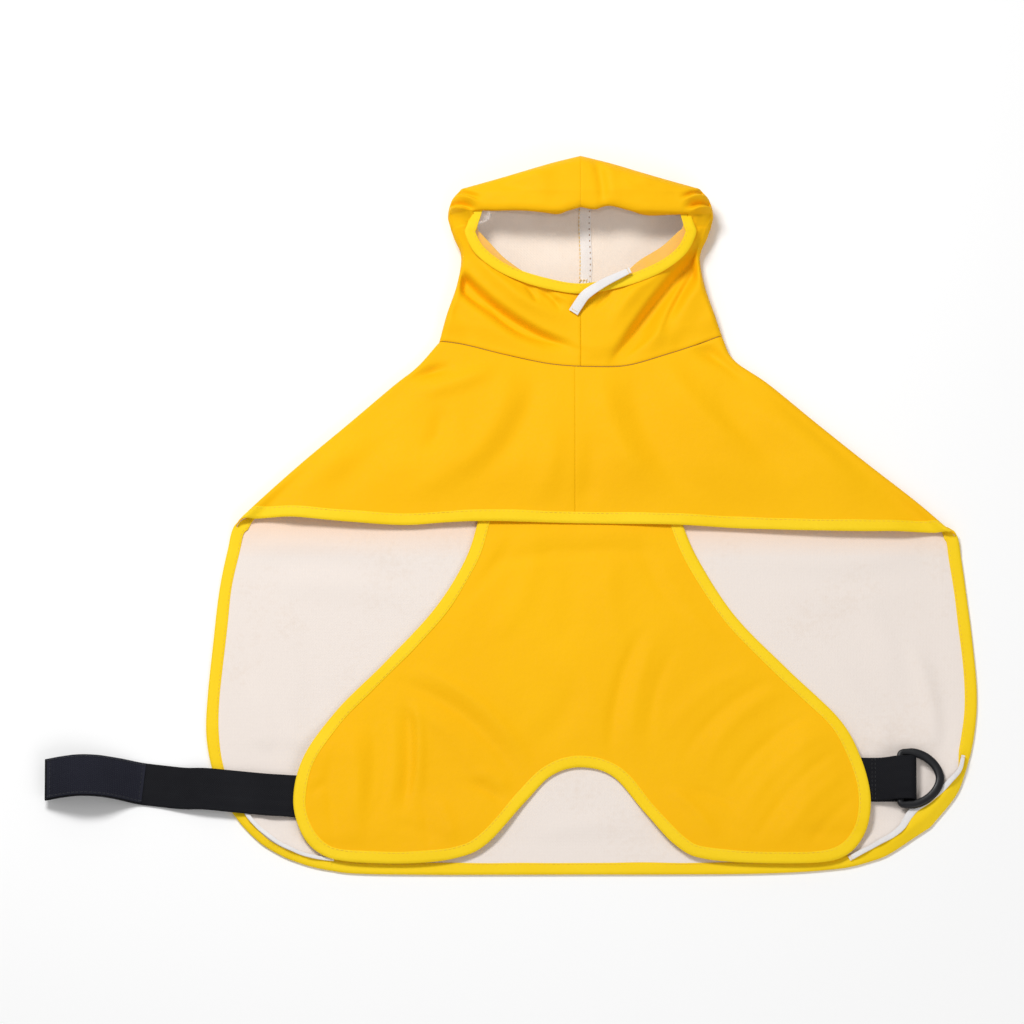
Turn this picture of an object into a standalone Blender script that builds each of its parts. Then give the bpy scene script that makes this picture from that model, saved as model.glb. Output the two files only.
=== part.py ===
"""Hooded dog raincoat, laid out flat with its belly side up.

The coat is worked out in millimetres about the hood's centre line (u across, v towards the
hood, zero at the front hem) and moved at the end so that the origin is the middle of the
footprint, on the surface that it lies on. Each cut piece of cloth is an open surface, given
its thickness by a Solidify modifier, and pieces lie 0.3 mm apart where they are sewn or touch.
"""

import math

import bpy
import numpy as np

MM = 0.001

# Cloth, gaps and bindings (mm)
WALL = 1.0
GAP = 0.3
SLOT = WALL + 2 * GAP
BINDING_HEIGHT = SLOT + 2 * WALL
BINDING_WIDTH = 8.0
EDGE_LIFT = WALL + GAP
EDGE_FLAT = 13.0
EDGE_RAMP = 27.0
WEB = WALL + GAP

# Middle of the footprint (mm), in the coat's own measure
FOOTPRINT_MIDDLE = (-47.1, -2.0)

# Shoulder folds and heights of the two layers (mm)
FRONT_TOP = 8.5
FOLD_RADIUS = FRONT_TOP / 2
NECK_HALF = 97.0
NECK_GAP = 0.6
LOOSE_GAP = 0.6
LOOSE_HEIGHT = 3 * WALL + 2 * LOOSE_GAP
SEAM_U = -4.0

# Outer outline of the back below the shoulders: v, u of the left side, u of the right side
BACK_SIDES = (
    # v, left, right
    (-9, -237, 255),
    (-51, -243, 262),
    (-98, -251, 268),
    (-140, -254, 270),
    (-172, -250, 266),
    (-199, -243, 258),
    (-222, -229, 244),
)
HEM_CORNERS = ((-229, -222), (244, -222))
HEM = ((-206, -240), (-170, -254), (-130, -259), (0, -261), (135, -260), (186, -254), (222, -241))

# Shoulder folds, from neck to hem, and the necklines and the front hem: u, v
SHOULDER_LEFT = ((-97, 124), (-115, 103), (-170, 52), (-224, 2), (-237, -9))
SHOULDER_RIGHT = ((97, 128), (106, 112), (131, 96), (190, 44), (241, -2), (255, -9))
FRONT_NECK = (
    (-97, 124), (-79, 121), (-52, 114), (-20, 107), (8, 105), (32, 106), (62, 115), (97, 128),
)
BACK_NECK = ((-97, 124), (-50, 117), (0, 115), (50, 118), (97, 128))
FRONT_HEM = (
    (-237, -9), (-216, -1), (-176, 2), (-100, -3), (0, -4), (75, -4), (177, -8), (232, -8), (255, -9),
)
YOKE_ROWS = (0, 0.07, 0.14, 0.2, 0.29, 0.4, 0.52, 0.64, 0.76, 0.88, 1.0)
CORNER_REACH = 9.0
HEM_TAPE_START = 10.0
JOIN_DROP = 6.0

# Soft waves that lift the front hem: u of the crest, half width, height, reach up the panel
HEM_WAVES = (
    (-172, 42, 3.0, 46),
    (-92, 36, 1.0, 34),
    (60, 40, 1.2, 30),
    (184, 46, 2.8, 52),
)
WAVE_START = 10.0
WAVE_FULL = 52.0

# Belly panel, outer outline: u of the left edge down from under the front hem, then the lobes
BELLY_LEFT = (
    (-68, 10), (-70, -3), (-79, -33), (-100, -69), (-134, -108), (-167, -143), (-189, -177),
    (-196, -208), (-192, -234),
)
BELLY_RIGHT = (
    (67, 10), (69, -5), (80, -33), (105, -74), (140, -112), (174, -147), (190, -177),
    (197, -208), (192, -234),
)
BELLY_BOTTOM = (
    (-192, -234), (-180, -250), (-163, -253), (-117, -254), (-84, -250), (-63, -239), (-37, -208),
    (-20, -190), (0, -184), (22, -191), (43, -217), (64, -241), (85, -251), (135, -254), (174, -251),
    (192, -234),
)

# Leash flap on the outside of the back, under the coat as it lies
FLAP_HALF = 34.0
FLAP_TOP = 112.0
FLAP_END = 40.0
FLAP_LIFT = BINDING_HEIGHT + GAP
FLAP_LIFT_ACROSS = (-95, -50, 50, 95)
FLAP_LIFT_ALONG = (12, 34, 130, 158)

# Hood outline, left half as half widths (both halves are alike): half width, v
HOOD_SIDE = ((97, 124), (92, 144), (85, 166), (82, 186), (87, 199), (91, 212), (89, 224), (82, 233))
HOOD_TOP = ((0, 257), (22, 252), (50, 244), (82, 233))
THROAT_EDGE = ((0, 160), (28, 167), (50, 178), (66, 191), (75, 203), (87, 206))
FOREHEAD_EDGE = ((0, 212), (30, 212), (60, 213), (75, 212), (90, 214))
HOOD_HEIGHTS = (
    # v, outer face of the front layer
    (105, FRONT_TOP),
    (130, FRONT_TOP),
    (160, 9.4),
    (185, 12.0),
    (203, 17.0),
    (212, 30.0),
    (226, 31.0),
    (257, 27.0),
)
CROWN_RADIUS = 11.0
CROWN_SIDE_DROP = 0.18
HOOD_COLUMNS = (0, 0.16, 0.32, 0.48, 0.62, 0.74, 0.83, 0.9, 0.955, 0.986, 1.0)
THROAT_ROWS = (0, 0.12, 0.34, 0.6, 0.84, 1.0)
CROWN_ROWS = (0, 0.3, 0.55, 0.78, 0.93, 1.0)
THROAT_SHARE = 0.72
CROWN_SHARE = 0.21
OPENING_SHARE = 0.86

# Clear visor: outer outline of its binding, and the height of the binding's underside by v
VISOR_OUTLINE = (
    (-77, 206), (-79, 198), (-73, 185), (-60, 174), (-44, 166), (-25, 160), (0, 156),
    (25, 160), (44, 166), (60, 174), (73, 185), (79, 198), (77, 206),
)
VISOR_TOP = 221.0
VISOR_HEIGHTS = ((150, 9.6), (160, 10.0), (167, 11.0), (185, 14.6), (200, 19.0), (206, 21.0), (221, 22.4))
VISOR_HALF_AT_TOP = 68.0

# Belt: centre line and underside, from under the left lobe to the free end: u, v, z
BELT_WIDTH = 30.0
BELT_THICK = 2.0
BELT_ROUTE = (
    (-162, -206, 1.9), (-190, -205, 2.2), (-204, -204.5, 3.2), (-216, -204, 4.1), (-236, -202, 4.0),
    (-256, -200, 4.0), (-270, -199, 1.6), (-284, -197, 0.1), (-300, -195, 0.3), (-314, -194, 6.5),
    (-328, -194, 13.5), (-341, -194, 15.0), (-352, -194, 11.5), (-364, -194, 5.0),
)
PATCH_ROUTE_START = 8
PATCH_THICK = 1.5
PATCH_WIDTH = 28.0

# Webbing loop and D ring on the right lobe (mm)
LOOP_V = -193.0
LOOP_WIDTH = 31.0
LOOP_THICK = 1.5
LOOP_START = 166.0
LOOP_SEWN_END = 203.0
LOOP_END = 228.0
RING_ROD = 2.2
RING_BAR_U = 217.0
LOOP_LOW = 1.8
RING_Z = LOOP_LOW + LOOP_THICK + 2.7
RING_REACH = 27.0
RING_HALF = 18.8
RING_CORNER = 2.4
RING_STRAIGHT = 9.0

# How far the belly panel is lifted where the belt's two ends are sewn under it (mm), and where
STRAP_LIFT = 3.3
LOOP_LIFT = 4.2
SEWN_START = 128
SEWN_FULL = 154
STRAP_BAND = (-262, -232, -178, -146)
LOOP_BAND = (-250, -220, -166, -134)
HEM_START = 194
HEM_FULL = 232

# White elastics: centre lines and undersides, u, v, z
ELASTIC_WIDTH = 5.0
ELASTIC_THICK = 1.0
LEG_ELASTIC_RIGHT = (
    (260, -169, 3.9), (253, -182, 4.0), (247, -193, 2.5), (239, -205, 2.4), (231, -211, 2.4),
    (226, -219, 2.5), (213, -227, 2.7), (204, -236, 3.5), (198, -242, 3.9),
)
LEG_ELASTIC_LEFT = (
    (-224, -224, 3.9), (-218, -228, 3.9), (-212, -229, 3.9), (-205, -233, 3.9), (-200, -239, 3.9),
    (-194, -241, 3.9),
)
THROAT_ELASTIC = (
    (34, 178, 17.6), (27, 172, 16.9), (18, 166, 15.6), (9, 160, 14.6), (2, 154, 14.2),
    (-2, 147, 11.8), (-4, 141, 9.4),
)

# Seam tape inside the hood, along the centre back
TAPE_WIDTH = 8.0
TAPE_LOW = 119.0
TAPE_HIGH = 238.0


def clear_scene():
    for item in list(bpy.data.objects):
        bpy.data.objects.remove(item, do_unlink=True)


def make_material(name, colour, roughness, metallic=0.0, transmission=0.0):
    material = bpy.data.materials.new(name)
    material.use_nodes = True
    shader = material.node_tree.nodes["Principled BSDF"]
    shader.inputs["Base Color"].default_value = (*colour, 1.0)
    shader.inputs["Roughness"].default_value = roughness
    shader.inputs["Metallic"].default_value = metallic
    shader.inputs["Transmission Weight"].default_value = transmission
    return material


def smoothstep(x, low, high):
    t = np.clip((np.asarray(x, float) - low) / (high - low), 0.0, 1.0)
    return t * t * (3 - 2 * t)


def smooth_path(points, steps):
    """Points along a smooth curve through the given ones: a count, or fractions of its length."""
    given = np.array(points, float)
    before = 2 * given[0] - given[1]
    after = 2 * given[-1] - given[-2]
    ext = np.vstack([before, given, after])
    dense = []
    for i in range(len(given) - 1):
        p0, p1, p2, p3 = ext[i:i + 4]
        for t in np.linspace(0, 1, 16, endpoint=False):
            slope = (p2 - p0) * t + (2 * p0 - 5 * p1 + 4 * p2 - p3) * t ** 2
            dense.append(p1 + 0.5 * (slope + (3 * p1 - p0 - 3 * p2 + p3) * t ** 3))
    dense.append(given[-1])
    dense = np.array(dense)
    lengths = path_lengths(dense)
    fractions = np.linspace(0, 1, steps) if isinstance(steps, int) else np.asarray(steps)
    wanted = fractions * lengths[-1]
    return np.column_stack([np.interp(wanted, lengths, dense[:, k]) for k in range(given.shape[1])])


def path_lengths(points):
    return np.concatenate([[0], np.cumsum(np.linalg.norm(np.diff(points, axis=0), axis=1))])


def patch(low, high, left, right, across, along):
    """Coons patch between four edges: rows run from the low edge to the high one."""
    s = np.asarray(across)[None, :, None]
    t = np.asarray(along)[:, None, None]
    ruled = (1 - t) * low[None] + t * high[None] + (1 - s) * left[:, None] + s * right[:, None]
    corners = (1 - s) * (1 - t) * low[0] + s * (1 - t) * low[-1]
    corners = corners + (1 - s) * t * high[0] + s * t * high[-1]
    return ruled - corners


def edge_fractions(length, near, count, both=True):
    """Fractions of a length, with lines at the given distances from its ends."""
    near = np.array(near, float) / length
    if both:
        middle = np.linspace(near[-1], 1 - near[-1], count + 1)[1:-1]
        return np.concatenate([near, middle, 1 - near[::-1]])
    middle = np.linspace(near[-1], 1, count + 1)[1:]
    return np.concatenate([near, middle])


def inward_normals(path, inside):
    """Unit normals in the plane, to the side where the inside lies (+1 is left of the path)."""
    along = np.gradient(path[:, :2], axis=0)
    along /= np.linalg.norm(along, axis=1)[:, None]
    return inside * np.column_stack([-along[:, 1], along[:, 0]])


def inset(path, distance, inside):
    return path[:, :2] + distance * inward_normals(path, inside)


def nearest(edge, points):
    """Distance from each point to the smooth curve through the edge's points."""
    dense = smooth_path(edge, 12 * len(edge))
    return np.linalg.norm(points[:, None, :2] - dense[None, :, :2], axis=2).min(axis=1)


def plateau(x, low_out, low_in, high_in, high_out):
    return smoothstep(x, low_out, low_in) * (1 - smoothstep(x, high_in, high_out))


def flap_lift(u, v):
    """How far the back is lifted over the leash flap that it lies on."""
    return FLAP_LIFT * plateau(u, *FLAP_LIFT_ACROSS) * plateau(v, *FLAP_LIFT_ALONG)


class Sheet:
    """Vertices and faces of an open surface, in millimetres, joined grid by grid."""

    def __init__(self):
        self.points = []
        self.faces = []

    def add_points(self, points):
        start = len(self.points)
        self.points.extend(np.asarray(points, float).reshape(-1, 3))
        return np.arange(start, len(self.points))

    def add_grid(self, grid, facing_up=True, shared=None, keep=None):
        """A grid of points; shared maps (row, column) to vertices that are there already.

        Where keep is given, a face is made only where keep(row, column) is true.
        """
        rows, cols = grid.shape[:2]
        ids = np.full((rows, cols), -1)
        for key, vertex in (shared or {}).items():
            ids[key] = vertex
        for row in range(rows):
            for col in range(cols):
                if ids[row, col] < 0:
                    ids[row, col] = self.add_points([grid[row, col]])[0]
        for row in range(rows - 1):
            for col in range(cols - 1):
                if keep is not None and not keep(row, col):
                    continue
                quad = [ids[row, col], ids[row, col + 1], ids[row + 1, col + 1], ids[row + 1, col]]
                self.faces.append(quad if facing_up else quad[::-1])
        return ids

    def build(self, name, material, thickness=WALL, even=False):
        mesh = bpy.data.meshes.new(name)
        middle = np.array([*FOOTPRINT_MIDDLE, 0.0])
        points = (np.array(self.points) - middle) * MM
        mesh.from_pydata([tuple(p) for p in points], [], [[int(i) for i in f] for f in self.faces])
        mesh.update()
        mesh.materials.append(material)
        thing = bpy.data.objects.new(name, mesh)
        PARTS.objects.link(thing)
        wall = thing.modifiers.new("cloth thickness", "SOLIDIFY")
        wall.thickness = thickness * MM
        wall.offset = -1.0
        wall.use_even_offset = even
        return thing


def with_height(flat, heights):
    return np.concatenate([flat, np.asarray(heights).reshape(*flat.shape[:-1], 1)], axis=-1)


def ribbon(name, route, width, thickness, material):
    """A flat strip along a route of u, v and the height of its underside."""
    across = inward_normals(route, 1) * width / 2
    top = route[:, 2] + thickness
    grid = np.stack([
        np.column_stack([route[:, :2] - across, top]),
        np.column_stack([route[:, :2] + across, top]),
    ])
    sheet = Sheet()
    sheet.add_grid(grid)
    return sheet.build(name, material, thickness)


def binding(name, edge, material, surface=None, height=BINDING_HEIGHT):
    """Folded tape round a cloth edge: edge is the outer line, with the height of its underside.

    The edge runs with the cloth on its left. A surface gives the tape's inner line its own height.
    """
    inner = inset(edge, BINDING_WIDTH, 1)
    low = edge[:, 2]
    inner_low = low if surface is None else surface(inner)
    grid = np.stack([
        np.column_stack([inner, inner_low]),
        np.column_stack([edge[:, :2], low]),
        np.column_stack([edge[:, :2], low + height]),
        np.column_stack([inner, inner_low + height]),
    ])
    sheet = Sheet()
    sheet.add_grid(grid)
    return sheet.build(name, material, even=True)


def roll(depth, radius):
    """0 at a fold's outer line, 1 from one radius inside it, along a quarter circle."""
    t = np.clip(depth / radius, 0.0, 1.0)
    return np.sqrt(1 - (1 - t) ** 2)


def hem_waves(u, below):
    """Lift of the front by its hem waves; below is 0 at the hem, growing up the panel."""
    lift = np.zeros_like(u)
    for crest, half, height, reach in HEM_WAVES:
        fade = 1 - smoothstep(below, BINDING_WIDTH + 2, BINDING_WIDTH + 2 + reach)
        lift += height * np.exp(-((u - crest) / half) ** 2) * fade
    return lift


def back_outline():
    left = [(row[1], row[0]) for row in BACK_SIDES]
    right = [(row[2], row[0]) for row in BACK_SIDES]
    return left, right


def body_columns():
    return edge_fractions(2 * NECK_HALF, (0, 0.55, 1.9, 8, 17), 13)


def side_steps():
    return edge_fractions(235, (0, 9, 18, 31), 6)


def hem_steps():
    return edge_fractions(490, (0, 10, 26), 20)


def back_edge():
    """Outer line of the back's binding, with the height of its underside (always on the table)."""
    left, right = back_outline()
    steps = side_steps()
    down = smooth_path(left, steps)[2:]
    up = smooth_path(right, steps)[2:][::-1]
    hem = smooth_path([HEM_CORNERS[0], *HEM, HEM_CORNERS[1]], hem_steps())
    line = np.vstack([down, hem[1:-1], up])
    return with_height(line, np.zeros(len(line)))


def yoke_lines():
    along = np.array(YOKE_ROWS)
    left = smooth_path(SHOULDER_LEFT, 1 - along)
    right = smooth_path(SHOULDER_RIGHT, 1 - along)
    return body_columns(), along, left, right


def front_height(flat):
    """Height of the fronts' outer face over points of the plan, and their distance from the folds."""
    points = flat.reshape(-1, 2)
    left = nearest(np.array(SHOULDER_LEFT), points)
    right = nearest(np.array(SHOULDER_RIGHT), points)
    depth = np.minimum(left, right)
    hem = smooth_path(FRONT_HEM, 60)
    below = points[:, 1] - np.interp(points[:, 0], hem[:, 0], hem[:, 1])
    waves = hem_waves(points[:, 0], below) * smoothstep(depth, WAVE_START, WAVE_FULL)
    top = FOLD_RADIUS + FOLD_RADIUS * roll(depth, FOLD_RADIUS) + waves
    return top.reshape(flat.shape[:-1]), depth.reshape(flat.shape[:-1])


def front_grid():
    """Outer face of both fronts, from the hem up to the neck, and its distance from the folds."""
    across, along, left, right = yoke_lines()
    hem = smooth_path(FRONT_HEM, across)
    neck = smooth_path(FRONT_NECK, across)
    flat = patch(hem, neck, left, right, across, along)
    top, depth = front_height(flat)
    return with_height(flat, top), depth


def make_body(cloth):
    """Back with the two fronts cut on, folded over at the shoulders and seamed down the front."""
    across, along, left, right = yoke_lines()
    hem_line = left[0] + np.asarray(across)[:, None] * (right[0] - left[0])
    sheet = Sheet()

    # Back of the yoke, outer face on the table
    flat = patch(hem_line, smooth_path(BACK_NECK, across), left, right, across, along)
    _, depth = front_height(flat)
    low = flap_lift(flat[..., 0], flat[..., 1]) + FOLD_RADIUS * (1 - roll(depth, FOLD_RADIUS))
    yoke = sheet.add_grid(with_height(flat, low), facing_up=False)

    # Fronts: the left and right halves share the fold's vertices and stop at the centre seam
    front, _ = front_grid()
    seam = int(np.argmin(np.abs(front[0, :, 0] - SEAM_U)))
    for side in (-1, 1):
        half = front[:, :seam + 1].copy() if side < 0 else front[:, seam:].copy()
        middle = -1 if side < 0 else 0
        fold = 0 if side < 0 else -1
        half[:, middle, 0] = SEAM_U + side * GAP / 2
        shared = {(row, fold % half.shape[1]): yoke[row, fold] for row in range(len(along))}
        sheet.add_grid(half, facing_up=True, shared=shared)

    # Back below the shoulders, raised at its edges where the binding goes round them
    left_line, right_line = back_outline()
    steps = side_steps()
    outer_left = smooth_path(left_line, steps)
    outer_right = smooth_path(right_line, steps)
    outer_hem = smooth_path([HEM_CORNERS[0], *HEM, HEM_CORNERS[1]], hem_steps())
    left = inset(outer_left, WEB, 1)
    right = inset(outer_right, WEB, -1)
    left[0] = hem_line[0]
    right[0] = hem_line[-1]
    hem = inset(outer_hem, WEB, 1)
    hem[0] = left[-1]
    hem[-1] = right[-1]
    columns = hem_steps()
    top_line = hem_line[0] + columns[:, None] * (hem_line[-1] - hem_line[0])
    flat = patch(hem, top_line, left[::-1], right[::-1], columns, 1 - steps[::-1])
    outline = np.vstack([outer_left, outer_hem[1:-1], outer_right[::-1]])
    gap = nearest(outline, flat.reshape(-1, 2)).reshape(flat.shape[:2])
    corner = np.minimum(
        np.linalg.norm(flat - hem_line[0], axis=2),
        np.linalg.norm(flat - hem_line[-1], axis=2),
    )
    below_hem = smoothstep(-flat[..., 1], BINDING_WIDTH, BINDING_WIDTH + JOIN_DROP)
    low = EDGE_LIFT * (1 - smoothstep(gap, EDGE_FLAT, EDGE_RAMP)) * below_hem
    low = low + FOLD_RADIUS * (1 - smoothstep(corner, 0, CORNER_REACH))
    lower = with_height(flat, low)
    top_ids = join_line(sheet, yoke[0], lower[-1])
    shared = {(lower.shape[0] - 1, col): vertex for col, vertex in enumerate(top_ids)}
    sheet.add_grid(lower, facing_up=False, shared=shared)
    return sheet.build("body", cloth)


def join_line(sheet, upper_ids, lower_points):
    """A row of vertices on the line, stitched to a row above that has other spacings."""
    upper = np.array([sheet.points[i] for i in upper_ids])
    ids = list(sheet.add_points(lower_points[1:-1] - np.array([0, JOIN_DROP, 0])))
    ids = [upper_ids[0], *ids, upper_ids[-1]]
    lower = np.array([sheet.points[i] for i in ids])
    a = 0
    b = 0
    while a < len(upper_ids) - 1 or b < len(ids) - 1:
        step_up = a < len(upper_ids) - 1
        step_low = b < len(ids) - 1
        if step_up and step_low:
            step_up = upper[a + 1, 0] <= lower[b + 1, 0]
            step_low = not step_up
        corners = [upper_ids[a], upper_ids[a + 1] if step_up else ids[b + 1], ids[b]]
        if len(set(corners)) == 3:
            sheet.faces.append(corners)
        a += int(step_up)
        b += int(step_low)
    return ids


def front_hem_edge():
    """Outer line of the front hem's binding, along the panels' own hem points."""
    grid, depth = front_grid()
    hem = grid[0]
    outer = inset(hem, -WEB, 1)
    return with_height(outer, hem[:, 2] - WALL - WALL - LOOSE_GAP)[depth[0] > HEM_TAPE_START]


def front_binding_low(line):
    """Height of the front binding's underside, to follow the hem's waves."""
    top, _ = front_height(line)
    return top - WALL - WALL - LOOSE_GAP


def belly_base(points):
    """Height of what the belly panel's underside rests on, with its gap."""
    u, v = points[:, 0], points[:, 1]
    hem = smoothstep(-v, HEM_START, HEM_FULL) * (BINDING_HEIGHT - WALL)
    strap = plateau(v, *STRAP_BAND) * smoothstep(-u, SEWN_START, SEWN_FULL) * STRAP_LIFT
    loop = plateau(v, *LOOP_BAND) * smoothstep(u, SEWN_START, SEWN_FULL) * LOOP_LIFT
    return WALL + GAP + np.maximum(np.maximum(hem, strap), loop)


def belly_lines():
    """Fractions along the panel's lower edge and up its sides, closer together near the edges."""
    columns = edge_fractions(420, (0, 9, 22), 26)
    rows = edge_fractions(300, (0, 9, 22), 12, both=False)
    return columns, rows


def belly_edges():
    columns, rows = belly_lines()
    left = smooth_path(BELLY_LEFT, 1 - rows[::-1])
    right = smooth_path(BELLY_RIGHT, 1 - rows[::-1])
    bottom = smooth_path(BELLY_BOTTOM, columns)
    return left, right, bottom


def make_belly(cloth):
    """Belly panel, coloured side up on the back's inner face, its top sewn under the fronts."""
    columns, rows = belly_lines()
    left, right, bottom = belly_edges()
    inner_left = inset(left, WEB, 1)
    inner_right = inset(right, WEB, -1)
    inner_bottom = inset(bottom, WEB, 1)
    inner_bottom[0] = inner_left[-1]
    inner_bottom[-1] = inner_right[-1]
    top = inner_left[0] + columns[:, None] * (inner_right[0] - inner_left[0])
    flat = patch(inner_bottom, top, inner_left[::-1], inner_right[::-1], columns, rows)
    outline = np.vstack([left, bottom[1:-1], right[::-1]])
    points = flat.reshape(-1, 2)
    gap = nearest(outline, points)
    in_binding = 1 - smoothstep(gap, EDGE_FLAT, EDGE_RAMP)
    height = belly_base(points) + (WALL + LOOSE_GAP) * in_binding + WALL
    sheet = Sheet()
    sheet.add_grid(with_height(flat, height.reshape(flat.shape[:2])))
    return sheet.build("belly_panel", cloth)


def belly_edge():
    left, right, bottom = belly_edges()
    line = np.vstack([left, bottom[1:-1], right[::-1]])
    return with_height(line, belly_base(line))


def hood_height(u, v, depth):
    """Outer face of the hood's front layer, rolled down to the fold round its sides and top."""
    heights = np.array(HOOD_HEIGHTS, float)
    top = np.interp(v, heights[:, 0], heights[:, 1])
    radius = hood_radius(v)
    side_drop = 1 - CROWN_SIDE_DROP * smoothstep(np.abs(u), 40, 90) * smoothstep(v, 200, 212)
    return radius + (top * side_drop - radius) * roll(depth, radius)


def hood_radius(v):
    """Radius of the fold round the hood's side, which is also the fold's height."""
    return FOLD_RADIUS + (CROWN_RADIUS - FOLD_RADIUS) * smoothstep(v, 170, 212)


def seamed(grid, side):
    """The grid with its first column on the centre seam, turned to its own side of the hood."""
    grid[:, 0, 0] = GAP / 2 + 0.5 * smoothstep(grid[:, 0, 1], 230, 252)
    grid[..., 0] *= side
    return grid


def centre_line(steps, start, end):
    """Points up the hood's centre from one v to another."""
    return np.column_stack([np.zeros(len(steps)), start + steps * (end - start)])


def make_hood_half(name, side, cloth):
    """One half of the hood: its back layer on the table, and its front layer with the face opening."""
    across = np.array(HOOD_COLUMNS)
    whole, throat, crown = hood_rows()
    side_line = smooth_path(HOOD_SIDE, whole)
    top_line = smooth_path(HOOD_TOP, across)
    peak_v = HOOD_TOP[0][1]
    neck_front = [(u, v + NECK_GAP) for u, v in mirrored(FRONT_NECK, side)]
    neck_back = [(u, v + NECK_GAP) for u, v in mirrored(BACK_NECK, side)]
    side_line[0] = neck_back[-1]
    sheet = Sheet()

    # Back layer
    centre = centre_line(whole, neck_back[0][1], peak_v)
    flat = patch(smooth_path(neck_back, across), top_line, centre, side_line, across, whole)
    radius = hood_radius(flat[..., 1])
    low = radius * (1 - roll(hood_depth(flat, side_line, top_line), radius))
    low = low + flap_lift(flat[..., 0], flat[..., 1])
    back = sheet.add_grid(seamed(with_height(flat, low), side), facing_up=side < 0)

    # Front layer: the throat below the face opening, and the crown above it
    split = len(throat)
    low_line = smooth_path(neck_front, across)
    low_line[-1] = side_line[0]
    edge = smooth_path(THROAT_EDGE, across)
    edge[-1] = side_line[split - 1]
    centre = centre_line(throat, low_line[0][1], edge[0][1])
    lower = patch(low_line, edge, centre, side_line[:split], across, throat)
    brow = smooth_path(FOREHEAD_EDGE, across)
    brow[-1] = side_line[split]
    centre = centre_line(crown, brow[0][1], peak_v)
    upper = patch(brow, top_line, centre, side_line[split:], across, crown)
    flat = np.concatenate([lower, upper])
    depth = hood_depth(flat, side_line, top_line)
    grid = seamed(with_height(flat, hood_height(flat[..., 0], flat[..., 1], depth)), side)
    last_row = len(whole) - 1
    last_col = len(across) - 1
    shared = {(row, last_col): back[row, last_col] for row in range(len(whole))}
    shared.update({(last_row, col): back[last_row, col] for col in range(len(across))})
    opening = int(np.searchsorted(across, OPENING_SHARE))
    sheet.add_grid(grid, side > 0, shared, keep=lambda row, col: row != split - 1 or col >= opening)
    return sheet.build(name, cloth)


def hood_rows():
    """Row fractions up the hood, and those of its throat and its crown."""
    throat = np.array(THROAT_ROWS)
    crown = np.array(CROWN_ROWS)
    return np.concatenate([throat * THROAT_SHARE, 1 - CROWN_SHARE * (1 - crown)]), throat, crown


def centre_v(line):
    points = smooth_path(line, 60)
    return np.interp(0.0, points[:, 0], points[:, 1])


def mirrored(line, side):
    """The half of a neckline on one side, from the centre out, in half widths."""
    half = [(side * u, v) for u, v in smooth_path(line, 60) if side * u > 4]
    half.sort()
    return [(0.0, centre_v(line)), *half]


def hood_depth(flat, side_line, top_line):
    outline = np.vstack([side_line[:-1], top_line[::-1]])
    gap = nearest(outline, flat.reshape(-1, 2))
    return gap.reshape(flat.shape[:2])


def visor_base(v):
    heights = np.array(VISOR_HEIGHTS, float)
    return np.interp(v, heights[:, 0], heights[:, 1])


def visor_edge():
    line = smooth_path(VISOR_OUTLINE, 27)
    return with_height(line, visor_base(line[:, 1]))


def make_visor(film):
    """Clear film from under the crown's edge, over the face opening, into its binding."""
    line = inset(visor_edge(), WEB, 1)
    shoulder = 5
    left = line[:shoulder + 1][::-1]
    right = line[-shoulder - 1:]
    bottom = line[shoulder:-shoulder]
    across = np.linspace(0, 1, len(bottom))
    along = np.linspace(0, 1, len(left))
    top = left[-1] + across[:, None] * (right[-1] - left[-1])
    flat = patch(bottom, top, left, right, across, along)
    tail = np.stack([
        np.column_stack([top[:, 0] * VISOR_HALF_AT_TOP / abs(top[0, 0]), np.full(len(across), v)])
        for v in (left[-1][1] + 4, VISOR_TOP)
    ])
    flat = np.concatenate([flat, tail])
    base = visor_base(flat[..., 1])
    sheet = Sheet()
    sheet.add_grid(with_height(flat, base + EDGE_LIFT + WALL))
    return sheet.build("visor", film)


def flap_outline(count):
    """Down one side, round the end and up the other: outer line of the flap's binding."""
    straight = FLAP_END + FLAP_HALF
    angles = np.linspace(math.pi, 2 * math.pi, count)
    arc = np.column_stack([FLAP_HALF * np.cos(angles), straight + FLAP_HALF * np.sin(angles)])
    side = np.linspace(FLAP_TOP, straight, 4)[:-1]
    left = np.column_stack([np.full(len(side), -FLAP_HALF), side])
    right = np.column_stack([np.full(len(side), FLAP_HALF), side[::-1]])
    return np.vstack([left, arc, right])


def make_flap(cloth, tape):
    outer = flap_outline(13)
    edge = with_height(outer, np.zeros(len(outer)))
    line = inset(edge, WEB, 1)
    corner = 6
    left = line[:corner + 1][::-1]
    right = line[-corner - 1:]
    bottom = line[corner:-corner]
    across = np.linspace(0, 1, len(bottom))
    along = np.linspace(0, 1, len(left))
    top = left[-1] + across[:, None] * (right[-1] - left[-1])
    flat = patch(bottom, top, left, right, across, along)
    sheet = Sheet()
    sheet.add_grid(with_height(flat, np.full(flat.shape[:2], EDGE_LIFT)), facing_up=False)
    sheet.build("leash_flap", cloth)
    binding("flap_binding", edge, tape)


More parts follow.
